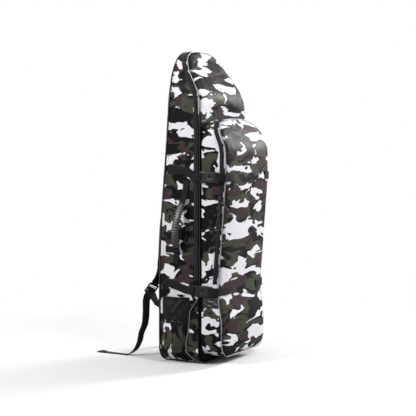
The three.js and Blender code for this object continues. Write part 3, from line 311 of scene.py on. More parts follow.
# A paler copy of the black webbing with painted light: it stands in for the lit look of the strap tails lying
# on the floor, and is also used for the band across the left netting
PALE_WEBBING = woven_webbing("webbing_painted_lighter", "2b2a2c", 1.15)
PLASTIC = moulded("black_plastic", "0e0e10", shine=0.3)
CORD = moulded("black_cord", "1b1b1f", (0.2, 0.34), 0.0001, 0.7)
GRIP = moulded("grip_rubber", "15151a", (0.26, 0.38), 0.0001, 0.6)
PIPING = vinyl("pale_piping")
# The bag's front piping carries painted shade: near black from 0.225 m to 0.82 m, where it runs in the shaded
# gap beside the front pocket, and mid grey below 0.225 m
BAG_PIPING = vinyl("bag_piping", painted_shade_bands=[(0.82, 0.03, "141416"), (0.225, 0.01, "77777c")])
DARK_PIPING = vinyl("dark_piping", "161618", "0c0c0e")
ZIP = zip_finish("zip_tape")
NET = netting("black_mesh")
THREAD = moulded("black_thread", "26262a", (0.5, 0.7))
PALE_THREAD = moulded("grey_thread", "58585c", (0.5, 0.7))
STIFFENER = moulded("stiff_sheet", "333336", (0.5, 0.6))


# Small tools for numbers, in millimetres
def table(rows, at):
    return np.interp(at, [row[0] for row in rows], [row[1] for row in rows])


def ease(value):
    t = np.clip(value, 0.0, 1.0)
    return t * t * (3 - 2 * t)


def unit(v):
    v = np.asarray(v, float)
    return v / np.linalg.norm(v, axis=-1, keepdims=True)


def lengths(path):
    """How far along a path each of its points lies."""
    return np.concatenate([[0], np.cumsum(np.linalg.norm(np.diff(path, axis=0), axis=1))])


def square_to(side, along):
    return unit(side - along * np.sum(side * along, 1, keepdims=True))


def outward_of(rows):
    """Directions out of an outline, square to it."""
    along = np.roll(rows, -1, -2) - np.roll(rows, 1, -2)
    return unit(np.stack([along[..., 2], 0 * along[..., 0], -along[..., 0]], -1))


def waves(a, b, pitch_a, pitch_b, seed, count=5):
    """Soft random waves over two lengths, from -1 to 1."""
    dice = np.random.default_rng(seed)
    total = np.zeros(np.broadcast(a, b).shape)
    for _ in range(count):
        ka, kb = dice.normal(0, 1 / pitch_a), dice.normal(0, 1 / pitch_b)
        total += np.sin(2 * math.pi * (ka * a + kb * b) + dice.uniform(0, 2 * math.pi))
    return total / count**0.5 / 1.4


# Meshes from rows of points
def make_mesh(name, points, faces, uv=None):
    mesh = bpy.data.meshes.new(name)
    mesh.from_pydata((np.asarray(points, float) * MM).tolist(), [], faces)
    if uv is not None:
        layer = mesh.uv_layers.new(name="UVMap")
        corners = np.zeros(len(mesh.loops), np.int32)
        mesh.loops.foreach_get("vertex_index", corners)
        layer.data.foreach_set("uv", (np.asarray(uv, float) * MM)[corners].ravel().astype(np.float32))
    tidy = bmesh.new()
    tidy.from_mesh(mesh)
    bmesh.ops.remove_doubles(tidy, verts=tidy.verts, dist=2e-6)
    bmesh.ops.recalc_face_normals(tidy, faces=tidy.faces)
    tidy.to_mesh(mesh)
    tidy.free()
    mesh.polygons.foreach_set("use_smooth", [True] * len(mesh.polygons))
    obj = bpy.data.objects.new(name, mesh)
    bpy.context.scene.collection.objects.link(obj)
    return obj


def dress(obj, material, body="bag", stands_for=()):
    obj.data.materials.clear()
    obj.data.materials.append(material)
    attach(obj, body)
    if stands_for:
        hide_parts(*stands_for)
    return obj


def strip_faces(count, width, looped=False):
    faces = []
    for r in range(count if looped else count - 1):
        here, there = r * width, ((r + 1) % count) * width
        for i in range(width):
            j = (i + 1) % width
            faces.append((here + i, here + j, there + j, there + i))
    return faces


def rows_to_mesh(name, rows, looped=False, uv=None):
    """Closed rows of equally many points, joined row to row. Looped joins the last row to the first."""
    rows = np.asarray(rows, float)
    count, width = rows.shape[:2]
    faces = strip_faces(count, width, looped)
    if not looped:
        faces.append(tuple(range(width - 1, -1, -1)))
        faces.append(tuple(range((count - 1) * width, count * width)))
    uv = None if uv is None else np.asarray(uv).reshape(-1, 2)
    return make_mesh(name, rows.reshape(-1, 3), faces, uv)


def slab(name, top, under):
    """A closed piece between two grids of points."""
    count, width = top.shape[:2]
    below = count * width
    faces = []
    for r in range(count - 1):
        for i in range(width - 1):
            a = r * width + i
            b = a + below
            faces.append((a, a + 1, a + width + 1, a + width))
            faces.append((b, b + width, b + width + 1, b + 1))
    rim = list(range(width)) + [r * width + width - 1 for r in range(1, count)]
    rim += [(count - 1) * width + i for i in range(width - 2, -1, -1)]
    rim += [r * width for r in range(count - 2, 0, -1)]
    for a, b in zip(rim, rim[1:] + rim[:1]):
        faces.append((a, a + below, b + below, b))
    return make_mesh(name, np.concatenate([top.reshape(-1, 3), under.reshape(-1, 3)]), faces)


# The outlines of the two compartments, seen from the front
BAG = {"half": 155, "foot": 3.3, "top": 993, "arch": 776.5, "corner": 40, "full": 3.6, "rise": 2.06}
POCKET = {"half": 150, "foot": 27, "top": 776, "arch": 700, "corner": 48, "full": 2.75, "rise": 2.75}
FRONT_RIM, REAR_RIM = -72.5, 72.5

# The compression straps: their heights in front and at the rear, and where they run
STRAPS = {
    "upper": {"height": 594, "rear_height": 618, "rear": 42, "reach": 35, "bend": 0.71, "depth": 88},
    "lower": {"height": 237, "rear_height": 262, "rear": 60, "reach": 55, "bend": 0.25, "depth": 64},
}
STRAP_MIDDLES = (606, 250)  # heights at which they press on the bag's side


def outline_side(o, inset=0.0, corner_steps=14, side_steps=64, arch_steps=56):
    radius = max(o["corner"] - inset, 0.3)
    turn = np.linspace(0, math.pi / 2, corner_steps + 1)
    x = [np.linspace(0, o["half"] - inset - radius, 10)[:-1]]
    z = [np.full(9, o["foot"] + inset)]
    x.append(o["half"] - inset - radius + radius * np.sin(turn))
    z.append(o["foot"] + inset + radius - radius * np.cos(turn))
    heights = np.linspace(o["foot"] + o["corner"], o["arch"], side_steps + 1)[1:]
    x.append(np.full(side_steps, o["half"] - inset))
    z.append(heights)
    share = np.linspace(0, 1, arch_steps + 1)[1:]
    turn = (share + 0.35 * share * (1 - share)) * math.pi / 2
    x.append((o["half"] - inset) * np.clip(np.cos(turn), 0, 1) ** (2 / o["full"]))
    z.append(o["arch"] + (o["top"] - inset - o["arch"]) * np.sin(turn) ** (2 / o["rise"]))
    x, z = np.concatenate(x), np.concatenate(z)
    x[-1] = 0.0
    return x, z


def outline_loop(o, inset=0.0):
    x, z = outline_side(o, inset)
    return np.concatenate([x, -x[1:-1][::-1]]), np.concatenate([z, z[1:-1][::-1]])


def softened(profile, z, reach):
    """A profile over height with its corners rounded."""
    return np.mean([profile(np.asarray(z, float) + reach * k / 3) for k in range(-3, 4)], 0)


def bag_front(z):
    return softened(lambda h: FRONT_RIM + 84 * (1 - np.clip((BAG["top"] - h) / 144, 0, 1) ** 1.2), z, 32)


def bag_rear(z):
    return REAR_RIM - 36 * ease((z - 278.04) / 615.66)


POCKET_DEPTHS = [(27, 75), (140, 75), (205, 64), (258, 64), (583, 88.6)]


def pocket_front(z):
    lean = softened(lambda h: 46 * np.clip((h - 680) / 96, 0, 1) ** 1.25, z, 15)
    return FRONT_RIM - table(POCKET_DEPTHS, z) + lean


def pocket_rear(z):
    return np.full(np.shape(z), FRONT_RIM - 3.6)


WRAP = [
    (0, 0), (0.028, 0.08), (0.068, 0.41), (0.126, 0.78), (0.19, 1), (0.34, 0.96), (0.49, 0.82),
    (0.78, 0.69), (0.9, 0.27), (0.957, 0.117), (0.979, 0.058), (1, 0),
]
WRAP_REACH, WRAP_TOP = 49, 222


def wrap(z):
    """How far back the front seam turns onto the side, low on the bag."""
    return WRAP_REACH * table(WRAP, np.asarray(z) / WRAP_TOP)


# A compartment of cloth: round rims, and sides with soft folds between the seams
def compartment(name, o, front, rear, rear_rim, depth_steps, folds):
    quarter = np.linspace(math.pi / 2, 0, 6)
    rows, shares = [], []
    for a in quarter:
        x, z = outline_loop(o, RIM * (1 - math.cos(a)))
        rows.append(np.stack([x, front(z) + RIM * (1 - math.sin(a)), z], -1))
        shares.append(0.0)
    x, z = outline_loop(o)
    low, high = front(z) + RIM, rear(z) - rear_rim
    for share in np.linspace(0, 1, depth_steps + 2)[1:-1]:
        rows.append(np.stack([x, low + share * (high - low), z], -1))
        shares.append(share)
    for a in quarter[::-1]:
        x, z = outline_loop(o, rear_rim * (1 - math.cos(a)))
        rows.append(np.stack([x, rear(z) - rear_rim * (1 - math.sin(a)), z], -1))
        shares.append(1.0)
    rows = np.array(rows)
    shares = np.array(shares)[:, None]
    rows -= outward_of(rows) * np.clip(folds(rows, shares), 0, 6)[..., None]
    count, width = rows.shape[:2]
    faces = strip_faces(count, width)
    for start in (0, (count - 1) * width):
        for i in range(width // 2):
            a, b = (width - i) % width, (width - i - 1) % width
            ring = [start + i, start + i + 1, start + b, start + a]
            faces.append(tuple(dict.fromkeys(ring)))
    return make_mesh(name, rows.reshape(-1, 3), faces)


def seam_share(shares, power=0.6):
    return np.clip(4 * shares * (1 - shares), 0, 1) ** power


def bag_folds(rows, shares):
    y, z = rows[..., 1], rows[..., 2]
    between = seam_share(shares)
    body = ease((z - 60) / 120) * ease((990 - z) / 120)
    slack = 1.3 + 1.2 * waves(y, z, 120, 210, 3)
    creases = 0.9 * np.abs(waves(y + 0.12 * z, z, 24, 330, 5)) ** 1.5
    straps = sum(np.exp(-(((z - h) / 16.0) ** 2)) for h in STRAP_MIDDLES)
    free = 1 - 0.7 * np.clip(straps, 0, 1)
    return between * body * (slack + creases) * free + 0.8 * straps * between


def pocket_folds(rows, shares):
    y, z = rows[..., 1], rows[..., 2]
    between = seam_share(shares, 0.8)
    slack = 1.0 + 1.0 * waves(y, z, 90, 170, 13)
    creases = 1.1 * np.abs(waves(y, z, 40, 46, 15)) ** 1.6
    return between * (slack + creases) * ease((z - 30) / 60)


for name, outline, front, rear, rear_rim, steps, folds, finish, node in (
    ("bag_side_cloth", BAG, bag_front, bag_rear, RIM, 26, bag_folds, "side", "main_compartment"),
    ("pocket_side_cloth", POCKET, pocket_front, pocket_rear, 2, 20, pocket_folds,
     "pocket_side", "pocket_compartment"),
):
    piece = compartment(name, outline, front, rear, rear_rim, steps, folds)
    dress(piece, CAMO[finish], stands_for=[node])


# How far points lie inside an outline drawn in by an inset
def inside(o, inset, x, z):
    ox, oz = outline_loop(o, inset)
    a = np.stack([ox, oz], -1)
    b = np.roll(a, -1, 0)
    p = np.stack([x.ravel(), z.ravel()], -1)
    best = np.full(len(p), 1e9)
    for start, end in zip(a, b):
        d = end - start
        t = np.clip(((p - start) @ d) / max(d @ d, 1e-9), 0, 1)
        best = np.minimum(best, np.hypot(*(p - start - t[:, None] * d).T))
    return best.reshape(x.shape)


# A panel on a face, laid in rungs from one edge of the outline to the other
def panel(name, o, columns, height_at, seat_at):
    x, z = outline_side(o, PANEL_INSET)
    edge = x > 1e-6
    x, z = x[edge], z[edge]
    spread = np.linspace(-1, 1, columns)
    spread = np.sign(spread) * (1 - (1 - np.abs(spread)) ** 1.45)
    px = x[:, None] * spread[None, :]
    pz = np.repeat(z[:, None], columns, 1)
    depth = inside(o, PANEL_INSET, px, pz)
    top = np.stack([px, height_at(px, pz, depth), pz], -1)
    return slab(name, top, np.stack([px, seat_at(pz), pz], -1))


CROWN = [(0, 0), (10, 0.35), (32, 0.68), (70, 0.92), (115, 1)]


def rounded_edge(depth, height, radius):
    return height * np.sqrt(np.clip(1 - (1 - np.clip(depth / radius, 0, 1)) ** 2, 0, 1))


def soft_crown(depth):
    return sum(part * table(CROWN, depth * near) for part, near in ((0.5, 1), (0.25, 0.92), (0.25, 1.08)))


def bag_front_face(x, z, depth):
    swell = 10 * ease((z - 780.5) / 73.5)
    lift = rounded_edge(depth, 3, 3) + swell * soft_crown(depth)
    creases = 0.9 * np.abs(waves(x, z, 60, 34, 22)) ** 1.5
    folds = ease(depth / 28) * (1.2 * waves(x, z, 110, 90, 21) + creases)
    return bag_front(z) - GAP - lift + np.clip(folds, -1.0, 3.0) * ease((z - 780) / 40)


def pocket_front_face(x, z, depth):
    lift = rounded_edge(depth, 3, 3) + 8 * soft_crown(depth)
    inner = ease(depth / 30)
    folds = 1.1 * waves(x, z, 150, 120, 31)
    pull = sum(np.exp(-(((z - s["height"]) / 34.0) ** 2)) for s in STRAPS.values())
    creases = 1.5 * np.abs(waves(x, z + 0.25 * np.abs(x), 150, 26, 33)) ** 1.6
    edge = np.exp(-(((np.abs(x) - 118) / 34.0) ** 2))
    folds = folds + creases * (0.25 + 0.9 * pull * edge)
    return pocket_front(z) - GAP - lift + inner * np.clip(folds, -0.8, 3.4)


for name, outline, columns, face, front, finish, node in (
    ("bag_front_cloth", BAG, 71, bag_front_face, bag_front, "front", "main_front_panel"),
    ("pocket_front_cloth", POCKET, 81, pocket_front_face, pocket_front, "pocket_front", "pocket_front_panel"),
):
    piece = panel(name, outline, columns, face, lambda z: front(z) - GAP)
    dress(piece, CAMO[finish], stands_for=[node])


# The padded back: two foam sides, a channel for air between them and quilted rungs across
BACK_SOFT = [
    (0, 3.2), (1.2, 4.8), (3, 6.3), (6, 9.3), (10, 11.6), (14, BACK_FOAM), (122, BACK_FOAM), (127, 10.6),
    (131, 7.2), (135, 6.1), (200, 6.1),
]


def back_face(x, z, depth):
    lift = table(BACK_SOFT, depth)
    beside = ease((np.abs(x) - 24) / 12) * ease(depth / 14)
    rungs = np.abs(((z - 60) / 92 + 0.5) % 1 - 0.5) * 92
    groove = 2.6 * np.exp(-((rungs / 5.0) ** 2))
    puff = 0.8 * waves(x, z, 60, 60, 41)
    return bag_rear(z) + lift - beside * np.clip(groove + puff * 0.4, 0, 4)


back = panel("back_padding", BAG, 97, back_face, lambda z: bag_rear(z) + 2.1)
dress(back, BACKING, stands_for=["back_panel"])


# Round trim that follows an outline
def piping(name, o, centre_at, radius):
    z0 = outline_loop(o)[1]
    rows = []
    for a in np.arange(12) * math.pi / 6:
        inset, y = centre_at(z0, radius * math.cos(a), radius * math.sin(a))
        x, z = offset_loop(o, inset)
        rows.append(np.stack([x, y, z], -1))
    return rows_to_mesh(name, np.transpose(rows, (1, 0, 2)), looped=True)


def offset_loop(o, inset):
    """The outline drawn in by an inset of its own at each point."""
    x, z = outline_loop(o)
    along = unit(np.stack([np.roll(x, -1) - np.roll(x, 1), np.roll(z, -1) - np.roll(z, 1)], -1))
    return x - inset * along[:, 1], z + inset * along[:, 0]


def seam(face, towards, wrapped=False):
    """Where a piping's middle runs: on the rim, and further back where its seam turns onto the side."""
    reach = RIM + 2.3

    def centre_at(z, out, forward):
        shift = wrap(z) if wrapped else np.zeros(np.shape(z))
        quarter = reach * math.pi / 4
        turn = math.pi / 4 * (1 - np.clip(shift / quarter, 0, 1))
        along = np.maximum(0, shift - quarter)
        depth = RIM - reach * np.sin(turn) + along - forward
        return RIM - reach * np.cos(turn) - out, face(z) - towards * depth

    return centre_at


for name, outline, centre, radius, finish, slot, node in (
    ("bag_front_cord", BAG, seam(bag_front, -1, wrapped=True), 1.6, BAG_PIPING, "piping", "main_front_piping"),
    ("bag_rear_cord", BAG, seam(bag_rear, 1), 1.7, DARK_PIPING, "black", "main_rear_piping"),
    ("pocket_front_cord", POCKET, seam(pocket_front, -1), 1.6, PIPING, "piping", "pocket_front_piping"),
):
    dress(piping(name, outline, centre, radius), finish, stands_for=[node])


# A zip laid along the side: tape, raised chain between two grooves
ZIP_SECTION = [
    (-0.3, 5), (-1.25, 5.1), (-1.3, 6), (-1.3, 9.1), (-1.0, 9.7), (-2.1, 10.2), (-2.35, 11), (-2.35, 14),
    (-2.1, 14.8), (-1.0, 15.3), (-1.3, 15.9), (-1.3, 19), (-1.25, 19.9), (-0.3, 20),
]


def zip_band(name, o, front, foot):
    x0, z0 = outline_loop(o)
    keep = z0 >= foot
    length = lengths(np.stack([x0, z0], -1))
    rows, uv = [], []
    for inset, depth in ZIP_SECTION:
        x, z = offset_loop(o, np.full(len(x0), inset))
        rows.append(np.stack([x, front(z0) + depth, z], -1)[keep])
        uv.append(np.stack([np.full(len(x0), depth - ZIP_FROM), length], -1)[keep])
    return rows_to_mesh(name, np.transpose(rows, (1, 0, 2)), uv=np.transpose(uv, (1, 0, 2)))


dress(zip_band("bag_zip_tape", BAG, bag_front, 250), ZIP, stands_for=["main_zip"])
dress(zip_band("pocket_zip_tape", POCKET, pocket_front, 258), ZIP, stands_for=["pocket_zip"])


# Flat straps and cords follow smooth paths through the places where they are held
def smooth_path(points, pitch=2.0, closed=False):
    """Rows along a smooth curve through all the given rows, whose first three numbers are places."""
    p = np.asarray(points, float)
    p = np.vstack([p[-1:], p, p[:2]]) if closed else np.vstack([2 * p[0] - p[1], p, 2 * p[-1] - p[-2]])
    gaps = np.maximum(np.linalg.norm(np.diff(p[:, :3], axis=0), axis=1), 1e-3)
    knots = np.concatenate([[0], np.cumsum(gaps**0.5)])
    rows = []
    for i in range(1, len(p) - 2):
        steps = max(2, math.ceil(gaps[i] / pitch))
        t = np.linspace(knots[i], knots[i + 1], steps, endpoint=False)[:, None]
        k = knots[i - 1 : i + 3]
        level = [p[i - 1 + j] for j in range(4)]
        a = [((k[j + 1] - t) * level[j] + (t - k[j]) * level[j + 1]) / (k[j + 1] - k[j]) for j in range(3)]
        b = [((k[j + 2] - t) * a[j] + (t - k[j]) * a[j + 1]) / (k[j + 2] - k[j]) for j in range(2)]
        rows.append(((k[2] - t) * b[0] + (t - k[1]) * b[1]) / (k[2] - k[1]))
    if not closed:
        rows.append(p[-2:-1])
    return np.vstack(rows)


class Tape:
    """A flat strap along a smooth path, which says where a point on its face lies."""

    def __init__(self, points, across=(0, 0, 1), width=25.0, thick=1.8, face=(-1, 0, 0), pitch=1.6):
        points = np.asarray(points, float)
        across = np.broadcast_to(np.asarray(across, float), points.shape)
        both = smooth_path(np.hstack([points, across]), pitch)
        self.path = both[:, :3]
        self.along = unit(np.gradient(self.path, axis=0))
        self.side = square_to(both[:, 3:], self.along)
        self.face = np.cross(self.side, self.along)
        if self.face[0] @ np.asarray(face, float) < 0:
            self.face = -self.face
        self.places = lengths(self.path)
        self.length = self.places[-1]
        self.width, self.thick = width, thick

    def look_up(self, values, s):
        return np.stack([np.interp(s, self.places, values[:, k]) for k in range(3)], -1)

    def at(self, s, a, lift=0.0):
        """Places at lengths s, a across from the middle and lifted off the face, and the face's way."""
        s, a = np.broadcast_arrays(np.asarray(s, float), np.asarray(a, float))
        face = unit(self.look_up(self.face, s))
        side = unit(self.look_up(self.side, s))
        return self.look_up(self.path, s) + a[..., None] * side + (self.thick / 2 + lift) * face, face

    def mesh(self, name, fray=0.25, seed=1, ripple=0.18):
        w, h = self.width / 2, self.thick / 2
        top = [(a * (w - 0.5), h) for a in np.linspace(1, -1, 9)]
        under = [(a, -h) for a, _ in top[::-1]]
        section = top + [(-w, h * 0.45), (-w, -h * 0.45)] + under + [(w, -h * 0.45), (w, h * 0.45)]
        a, o = np.array(section).T[:, None]
        s = self.places[:, None]
        edge = 1 + fray / w * waves(s, s * 0, 34, 1e9, seed)
        rise = ripple * waves(s, a, 22, 26, seed + 1)
        across = a * edge
        lift = o * (1 - 0.16 * (1 - (a / w) ** 2)) + rise
        rows = self.path[:, None] + across[..., None] * self.side[:, None]
        rows = rows + lift[..., None] * self.face[:, None]
        uv = np.stack([across + w, np.broadcast_to(s, across.shape)], -1)
        return rows_to_mesh(name, rows, uv=uv)


# Sewing thread: short dashes that dip into the cloth at both ends
def thread_runs(name, runs, body="bag", material=None, radius=0.42, length=2.7, gap=1.2):
    points, faces = [], []
    ring = 5
    turn = np.arange(ring) * 2 * math.pi / ring
    for path, normal in runs:
        path, normal = np.asarray(path, float), unit(normal)
        s = lengths(path)
        count = max(1, int((s[-1] + gap) / (length + gap)))
        pitch = (s[-1] + gap) / count
        for n in range(count):
            where = n * pitch + (pitch - gap) * np.array([0, 0.5, 1])
            at = np.stack([np.interp(where, s, path[:, k]) for k in range(3)], -1)
            up = unit(np.stack([np.interp(where, s, normal[:, k]) for k in range(3)], -1))
            way = unit(at[2] - at[0])
            start = len(points)
            for k, (sink, size) in enumerate(((-0.3, 0.6), (0.25, 1), (-0.3, 0.6))):
                side = unit(np.cross(way, up[k]))
                for t in turn:
                    rise = sink + radius * size * math.sin(t)
                    points.append(at[k] + up[k] * rise + side * radius * size * math.cos(t))
            faces += [tuple(start + i for i in face) for face in strip_faces(3, ring)]
            faces.append(tuple(start + i for i in range(ring - 1, -1, -1)))
            faces.append(tuple(start + 2 * ring + i for i in range(ring)))
    obj = make_mesh(name, points, faces)
    return dress(obj, material or THREAD, body)


def tape_line(tape, a, b, lift=0.0, steps=12):
    s = np.linspace(a[0], b[0], steps)
    across = np.linspace(a[1], b[1], steps)
    return tape.at(s, across, lift)


def crossed_box(tape, low, high, margin=2.6, lift=0.0):
    """A sewn rectangle with its two diagonals."""
    w = tape.width / 2 - margin
    a, b, c, d = (low, -w), (high, -w), (high, w), (low, w)
    lines = ((a, b), (b, c), (c, d), (d, a), (a, c), (b, d))
    return [tape_line(tape, start, end, lift) for start, end in lines]


def bar_loop(x, y, radius, towards, steps=10):
    turn = np.linspace(0, math.pi, steps)
    return [(x + radius * math.cos(t), y + towards * radius * math.sin(t)) for t in turn]


# Compression straps: sewn to the side, threaded through the buckle, and a short end on the pocket's front
BUCKLE_X, TAPE_TURN = 163.5, 3.7
SOCKET_SETBACK, SOCKET_LENGTH, TONGUE_LENGTH, BUCKLE_GAP, BAR_MIDDLE = 14, 46, 22, 0.4, 1.5
SLACK_START, SEWN_REACH = 26, 22.5


def pocket_panel_lift(inset):
    return 3 + 8 * table(CROWN, inset)


def compression_strap(level, side, m):
    s = STRAPS[level]
    height = s["height"]
    front = FRONT_RIM - s["depth"]
    socket_bar = front + SOCKET_SETBACK + BAR_MIDDLE
    tongue_bar = front + SOCKET_SETBACK + SOCKET_LENGTH + BUCKLE_GAP + TONGUE_LENGTH - BAR_MIDDLE
    level_from = tongue_bar + SLACK_START
    sewn_end = level_from + SEWN_REACH
    sewn_height = height + s["bend"] * (s["rear_height"] - height)
    rises = [(level_from, height), (sewn_end, sewn_height), (s["rear"], s["rear_height"])]
    out = (m, 0, 0)

    def on_side(x, y):
        return (m * x, y, table(rises, y))

    sewn = Tape([on_side(ON_SIDE, y) for y in np.linspace(s["rear"], sewn_end, 6)], face=out)
    piece = sewn.mesh(f"{level}_{side}_sewn_tape", seed=11, ripple=0.05)
    dress(piece, WEBBING, stands_for=[f"{level}_{side}_strap_sewn_webbing"])

    outer = BUCKLE_X + TAPE_TURN
    route = [(ON_TAPE, y) for y in np.linspace(s["rear"] - 24, sewn_end, 4)]
    route += [(ON_TAPE, level_from + 6), (ON_TAPE + 0.25, level_from + 1.5)]
    route += [((ON_TAPE + outer) / 2, level_from - 6.5), (outer, tongue_bar + 9)]
    route += bar_loop(BUCKLE_X, tongue_bar, TAPE_TURN, -1)
    route += [(BUCKLE_X - TAPE_TURN, tongue_bar + 12)]
    slopes = [(table(rises, y + 4) - table(rises, y - 4)) / 8 for _, y in route]
    loop = Tape([on_side(x, y) for x, y in route], [(0, -slope, 1) for slope in slopes], face=out)
    piece = loop.mesh(f"{level}_{side}_drawn_tape", seed=17, ripple=0.05)
    dress(piece, WEBBING, f"{level}_{side}_release", [f"{level}_{side}_strap_loop"])

    insets = [0, 10, 32, s["reach"]]
    tab = [(BUCKLE_X - TAPE_TURN, socket_bar - 9)]
    tab += bar_loop(BUCKLE_X, socket_bar, TAPE_TURN, 1)[::-1]
    tab += [(outer, socket_bar - 3), (165, front + 6), (157.8, front - 1.8), (152.1, front - 4.8)]
    tab += [(POCKET["half"] - PANEL_INSET - i, front - GAP - pocket_panel_lift(i) - 2.1) for i in insets]
    tab = Tape([(m * x, y, height) for x, y in tab], face=(-m, 0, 0))
    piece = tab.mesh(f"{level}_{side}_front_tape", seed=23)
    dress(piece, WEBBING, stands_for=[f"{level}_{side}_strap_tab"])

    thread_runs(f"{level}_{side}_side_stitches", crossed_box(sewn, 1.5, 22.5, lift=-0.5))
    thread_runs(f"{level}_{side}_front_stitches", crossed_box(tab, tab.length - 24, tab.length - 2.2))


for level in STRAPS:
    for side, m in SIDES:
        compression_strap(level, side, m)


# Rigid fittings keep the frame's shape, with their sharp edges rounded off
def rounded_copy(name, node, material, body="bag", width=0.5, segments=2):
    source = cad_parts[node]
    obj = bpy.data.objects.new(name, source.data.copy())
    bpy.context.scene.collection.objects.link(obj)
    tidy = bmesh.new()
    tidy.from_mesh(obj.data)
    tidy.transform(source.matrix_world)
    bmesh.ops.remove_doubles(tidy, verts=tidy.verts, dist=2e-5)
    bmesh.ops.dissolve_limit(tidy, angle_limit=math.radians(0.8), verts=tidy.verts, edges=tidy.edges)
    bmesh.ops.recalc_face_normals(tidy, faces=tidy.faces)
    tidy.to_mesh(obj.data)
    tidy.free()
    bevel = obj.modifiers.new("bevel", "BEVEL")
    bevel.width, bevel.segments, bevel.use_clamp_overlap = width * MM, segments, True
    bevel.limit_method, bevel.angle_limit = "ANGLE", math.radians(34)
    bpy.ops.object.select_all(action="DESELECT")
    bpy.context.view_layer.objects.active = obj
    obj.select_set(True)
    bpy.ops.object.modifier_apply(modifier=bevel.name)
    bpy.ops.object.shade_smooth_by_angle(angle=math.radians(40))
    obj.select_set(False)
    return dress(obj, material, body, [node])


for level in STRAPS:
    for side, _ in SIDES:
        where, release = f"{level}_{side}_buckle", f"{level}_{side}_release"
        rounded_copy(f"{where}_fork", f"{where}_tongue", PLASTIC, body=release)
        rounded_copy(f"{where}_housing", f"{where}_socket", PLASTIC, width=0.6)
for which in ("pocket", "main"):
    for level in ("upper", "lower"):
        name, body = f"{which}_{level}_zip_runner", f"{which}_{level}_slider"
        rounded_copy(name, f"{which}_zip_{level}_slider", PLASTIC, body=body, width=0.3)
for side, _ in SIDES:
    rounded_copy(f"{side}_strap_lock", f"{side}_ladder_lock", PLASTIC)


# The side handle: stitched webbing ends, a webbing core and a moulded grip with ribs
HANDLE_X, HANDLE_RISE = -163, 6.8
HANDLE_TOP, HANDLE_FOOT = np.array([HANDLE_X, -17, 522.0]), np.array([HANDLE_X, 8, 360.0])


def handle_place(share):
    share = np.asarray(share, float)
    place = HANDLE_TOP + share[..., None] * (HANDLE_FOOT - HANDLE_TOP)
    place[..., 0] -= 24 * np.sin(math.pi * np.clip(share, 0, 1)) ** 1.3
    return place


def handle_end(name, end, towards, sewn_z, stands_for, seed):
    points = [end - GAP * towards]
    for along, rise in ((0.11, 1), (0.22, 1), (0.5, 0.72), (0.78, 0.2), (1, 0)):
        point = end - (along * 12 + GAP) * towards
        point[0] = -ON_SIDE - rise * HANDLE_RISE
        points.append(point)
    last = points[-1]
    for share in (0.3, 0.65, 1):
        points.append(last + towards * share * (sewn_z - last[2]) / towards[2])
    tape = Tape(points, (0, 1, 0), width=HANDLE_TAPE)
    dress(tape.mesh(name, seed=seed, ripple=0.03), WEBBING, stands_for=[stands_for])
    low, full = 13.5, tape.length
    thread_runs(name + "_stitches", crossed_box(tape, low, min(full - 2, low + 26)))
    if full > 60:
        thread_runs(name + "_edge_stitches", crossed_box(tape, full - 22, full - 3.5, lift=-0.55)[:4])


down_handle = unit(HANDLE_FOOT - HANDLE_TOP)
handle_end("handle_upper_end", HANDLE_TOP, down_handle, 584, "side_handle_upper_webbing", 31)
handle_end("handle_lower_end", HANDLE_FOOT, -down_handle, 318, "side_handle_lower_webbing", 33)

core_shares = np.concatenate([[0, 0.012], np.linspace(1 / 16, 15 / 16, 15), [0.988, 1]])
core = handle_place(core_shares)
core[[0, 1, -2, -1], 0] = HANDLE_X
core = Tape(core, (0, 1, 0), width=HANDLE_TAPE)
dress(core.mesh("handle_core_tape", seed=35), WEBBING, "side_handle", ["side_handle_webbing"])


def moulded_grip():
    ribs, per_rib = 17, 10
    half_width, half_thickness, square = 13, 6.5, 2.9
    count = ribs * per_rib
    share = np.linspace(0, 1, count + 1)
    path = handle_place(0.075 + 0.85 * share)
    along = unit(np.gradient(path, axis=0))
    across = unit(np.array([0, 1, 0]) - along * along[:, 1:2])
    out = np.cross(along, across)
    rib = np.abs(((share * ribs - 0.31) % 1) - 0.5) * 2
    groove = 2.2 * ease((rib - 0.4) / 0.3)
    ends = 1.9 * (np.exp(-share * 26) + np.exp(-(1 - share) * 26))
    turn = np.linspace(0, 2 * math.pi, 36, endpoint=False)
    cos, sin = np.cos(turn), np.sin(turn)
    shape = (np.abs(cos) ** square + np.abs(sin) ** square) ** (-1 / square)
    cut = groove[:, None] * (0.5 + 0.5 * np.abs(cos)[None, :]) + ends[:, None]
    a = (half_width - cut) * (shape * cos)[None, :]
    o = (half_thickness - cut * 0.85) * (shape * sin)[None, :]
    rows = path[:, None] + a[..., None] * across[:, None] + o[..., None] * out[:, None]
    return rows_to_mesh("handle_ribbed_grip", rows)


dress(moulded_grip(), GRIP, "side_handle", ["side_handle_grip"])


# Zip pulls: twisted loops of coated cord, and one short pull with a moulded end
def round_tube(name, path, radius, sides=10, closed=False, sizes=None):
    path = np.asarray(path, float)
    along = (np.roll(path, -1, 0) - np.roll(path, 1, 0)) if closed else np.gradient(path, axis=0)
    along = unit(along)
    side = np.cross(along[0], (0.13, 0.71, 0.69))
    rows = []
    sizes = np.ones(len(path)) if sizes is None else sizes
    turn = (np.arange(sides) * 2 * math.pi / sides)[:, None]
    for k in range(len(path)):
        side = unit(side - along[k] * (side @ along[k]))
        other = np.cross(along[k], side)
        rows.append(path[k] + radius * sizes[k] * (np.cos(turn) * side + np.sin(turn) * other))
    return rows_to_mesh(name, rows, looped=closed)


def band_place(out, height, half, front, travel):
    """From places drawn on a zip's face to places on the bag."""
    out, travel = np.array(out, float), unit(np.array(travel, float))
    middle = np.array([out[0] * (half + ZIP_FACE), front + ZIP_FROM + ZIP_MIDDLE, height])
    basis = np.stack([np.cross(travel, out), travel, out])
    return lambda local: middle + np.asarray(local, float) @ basis


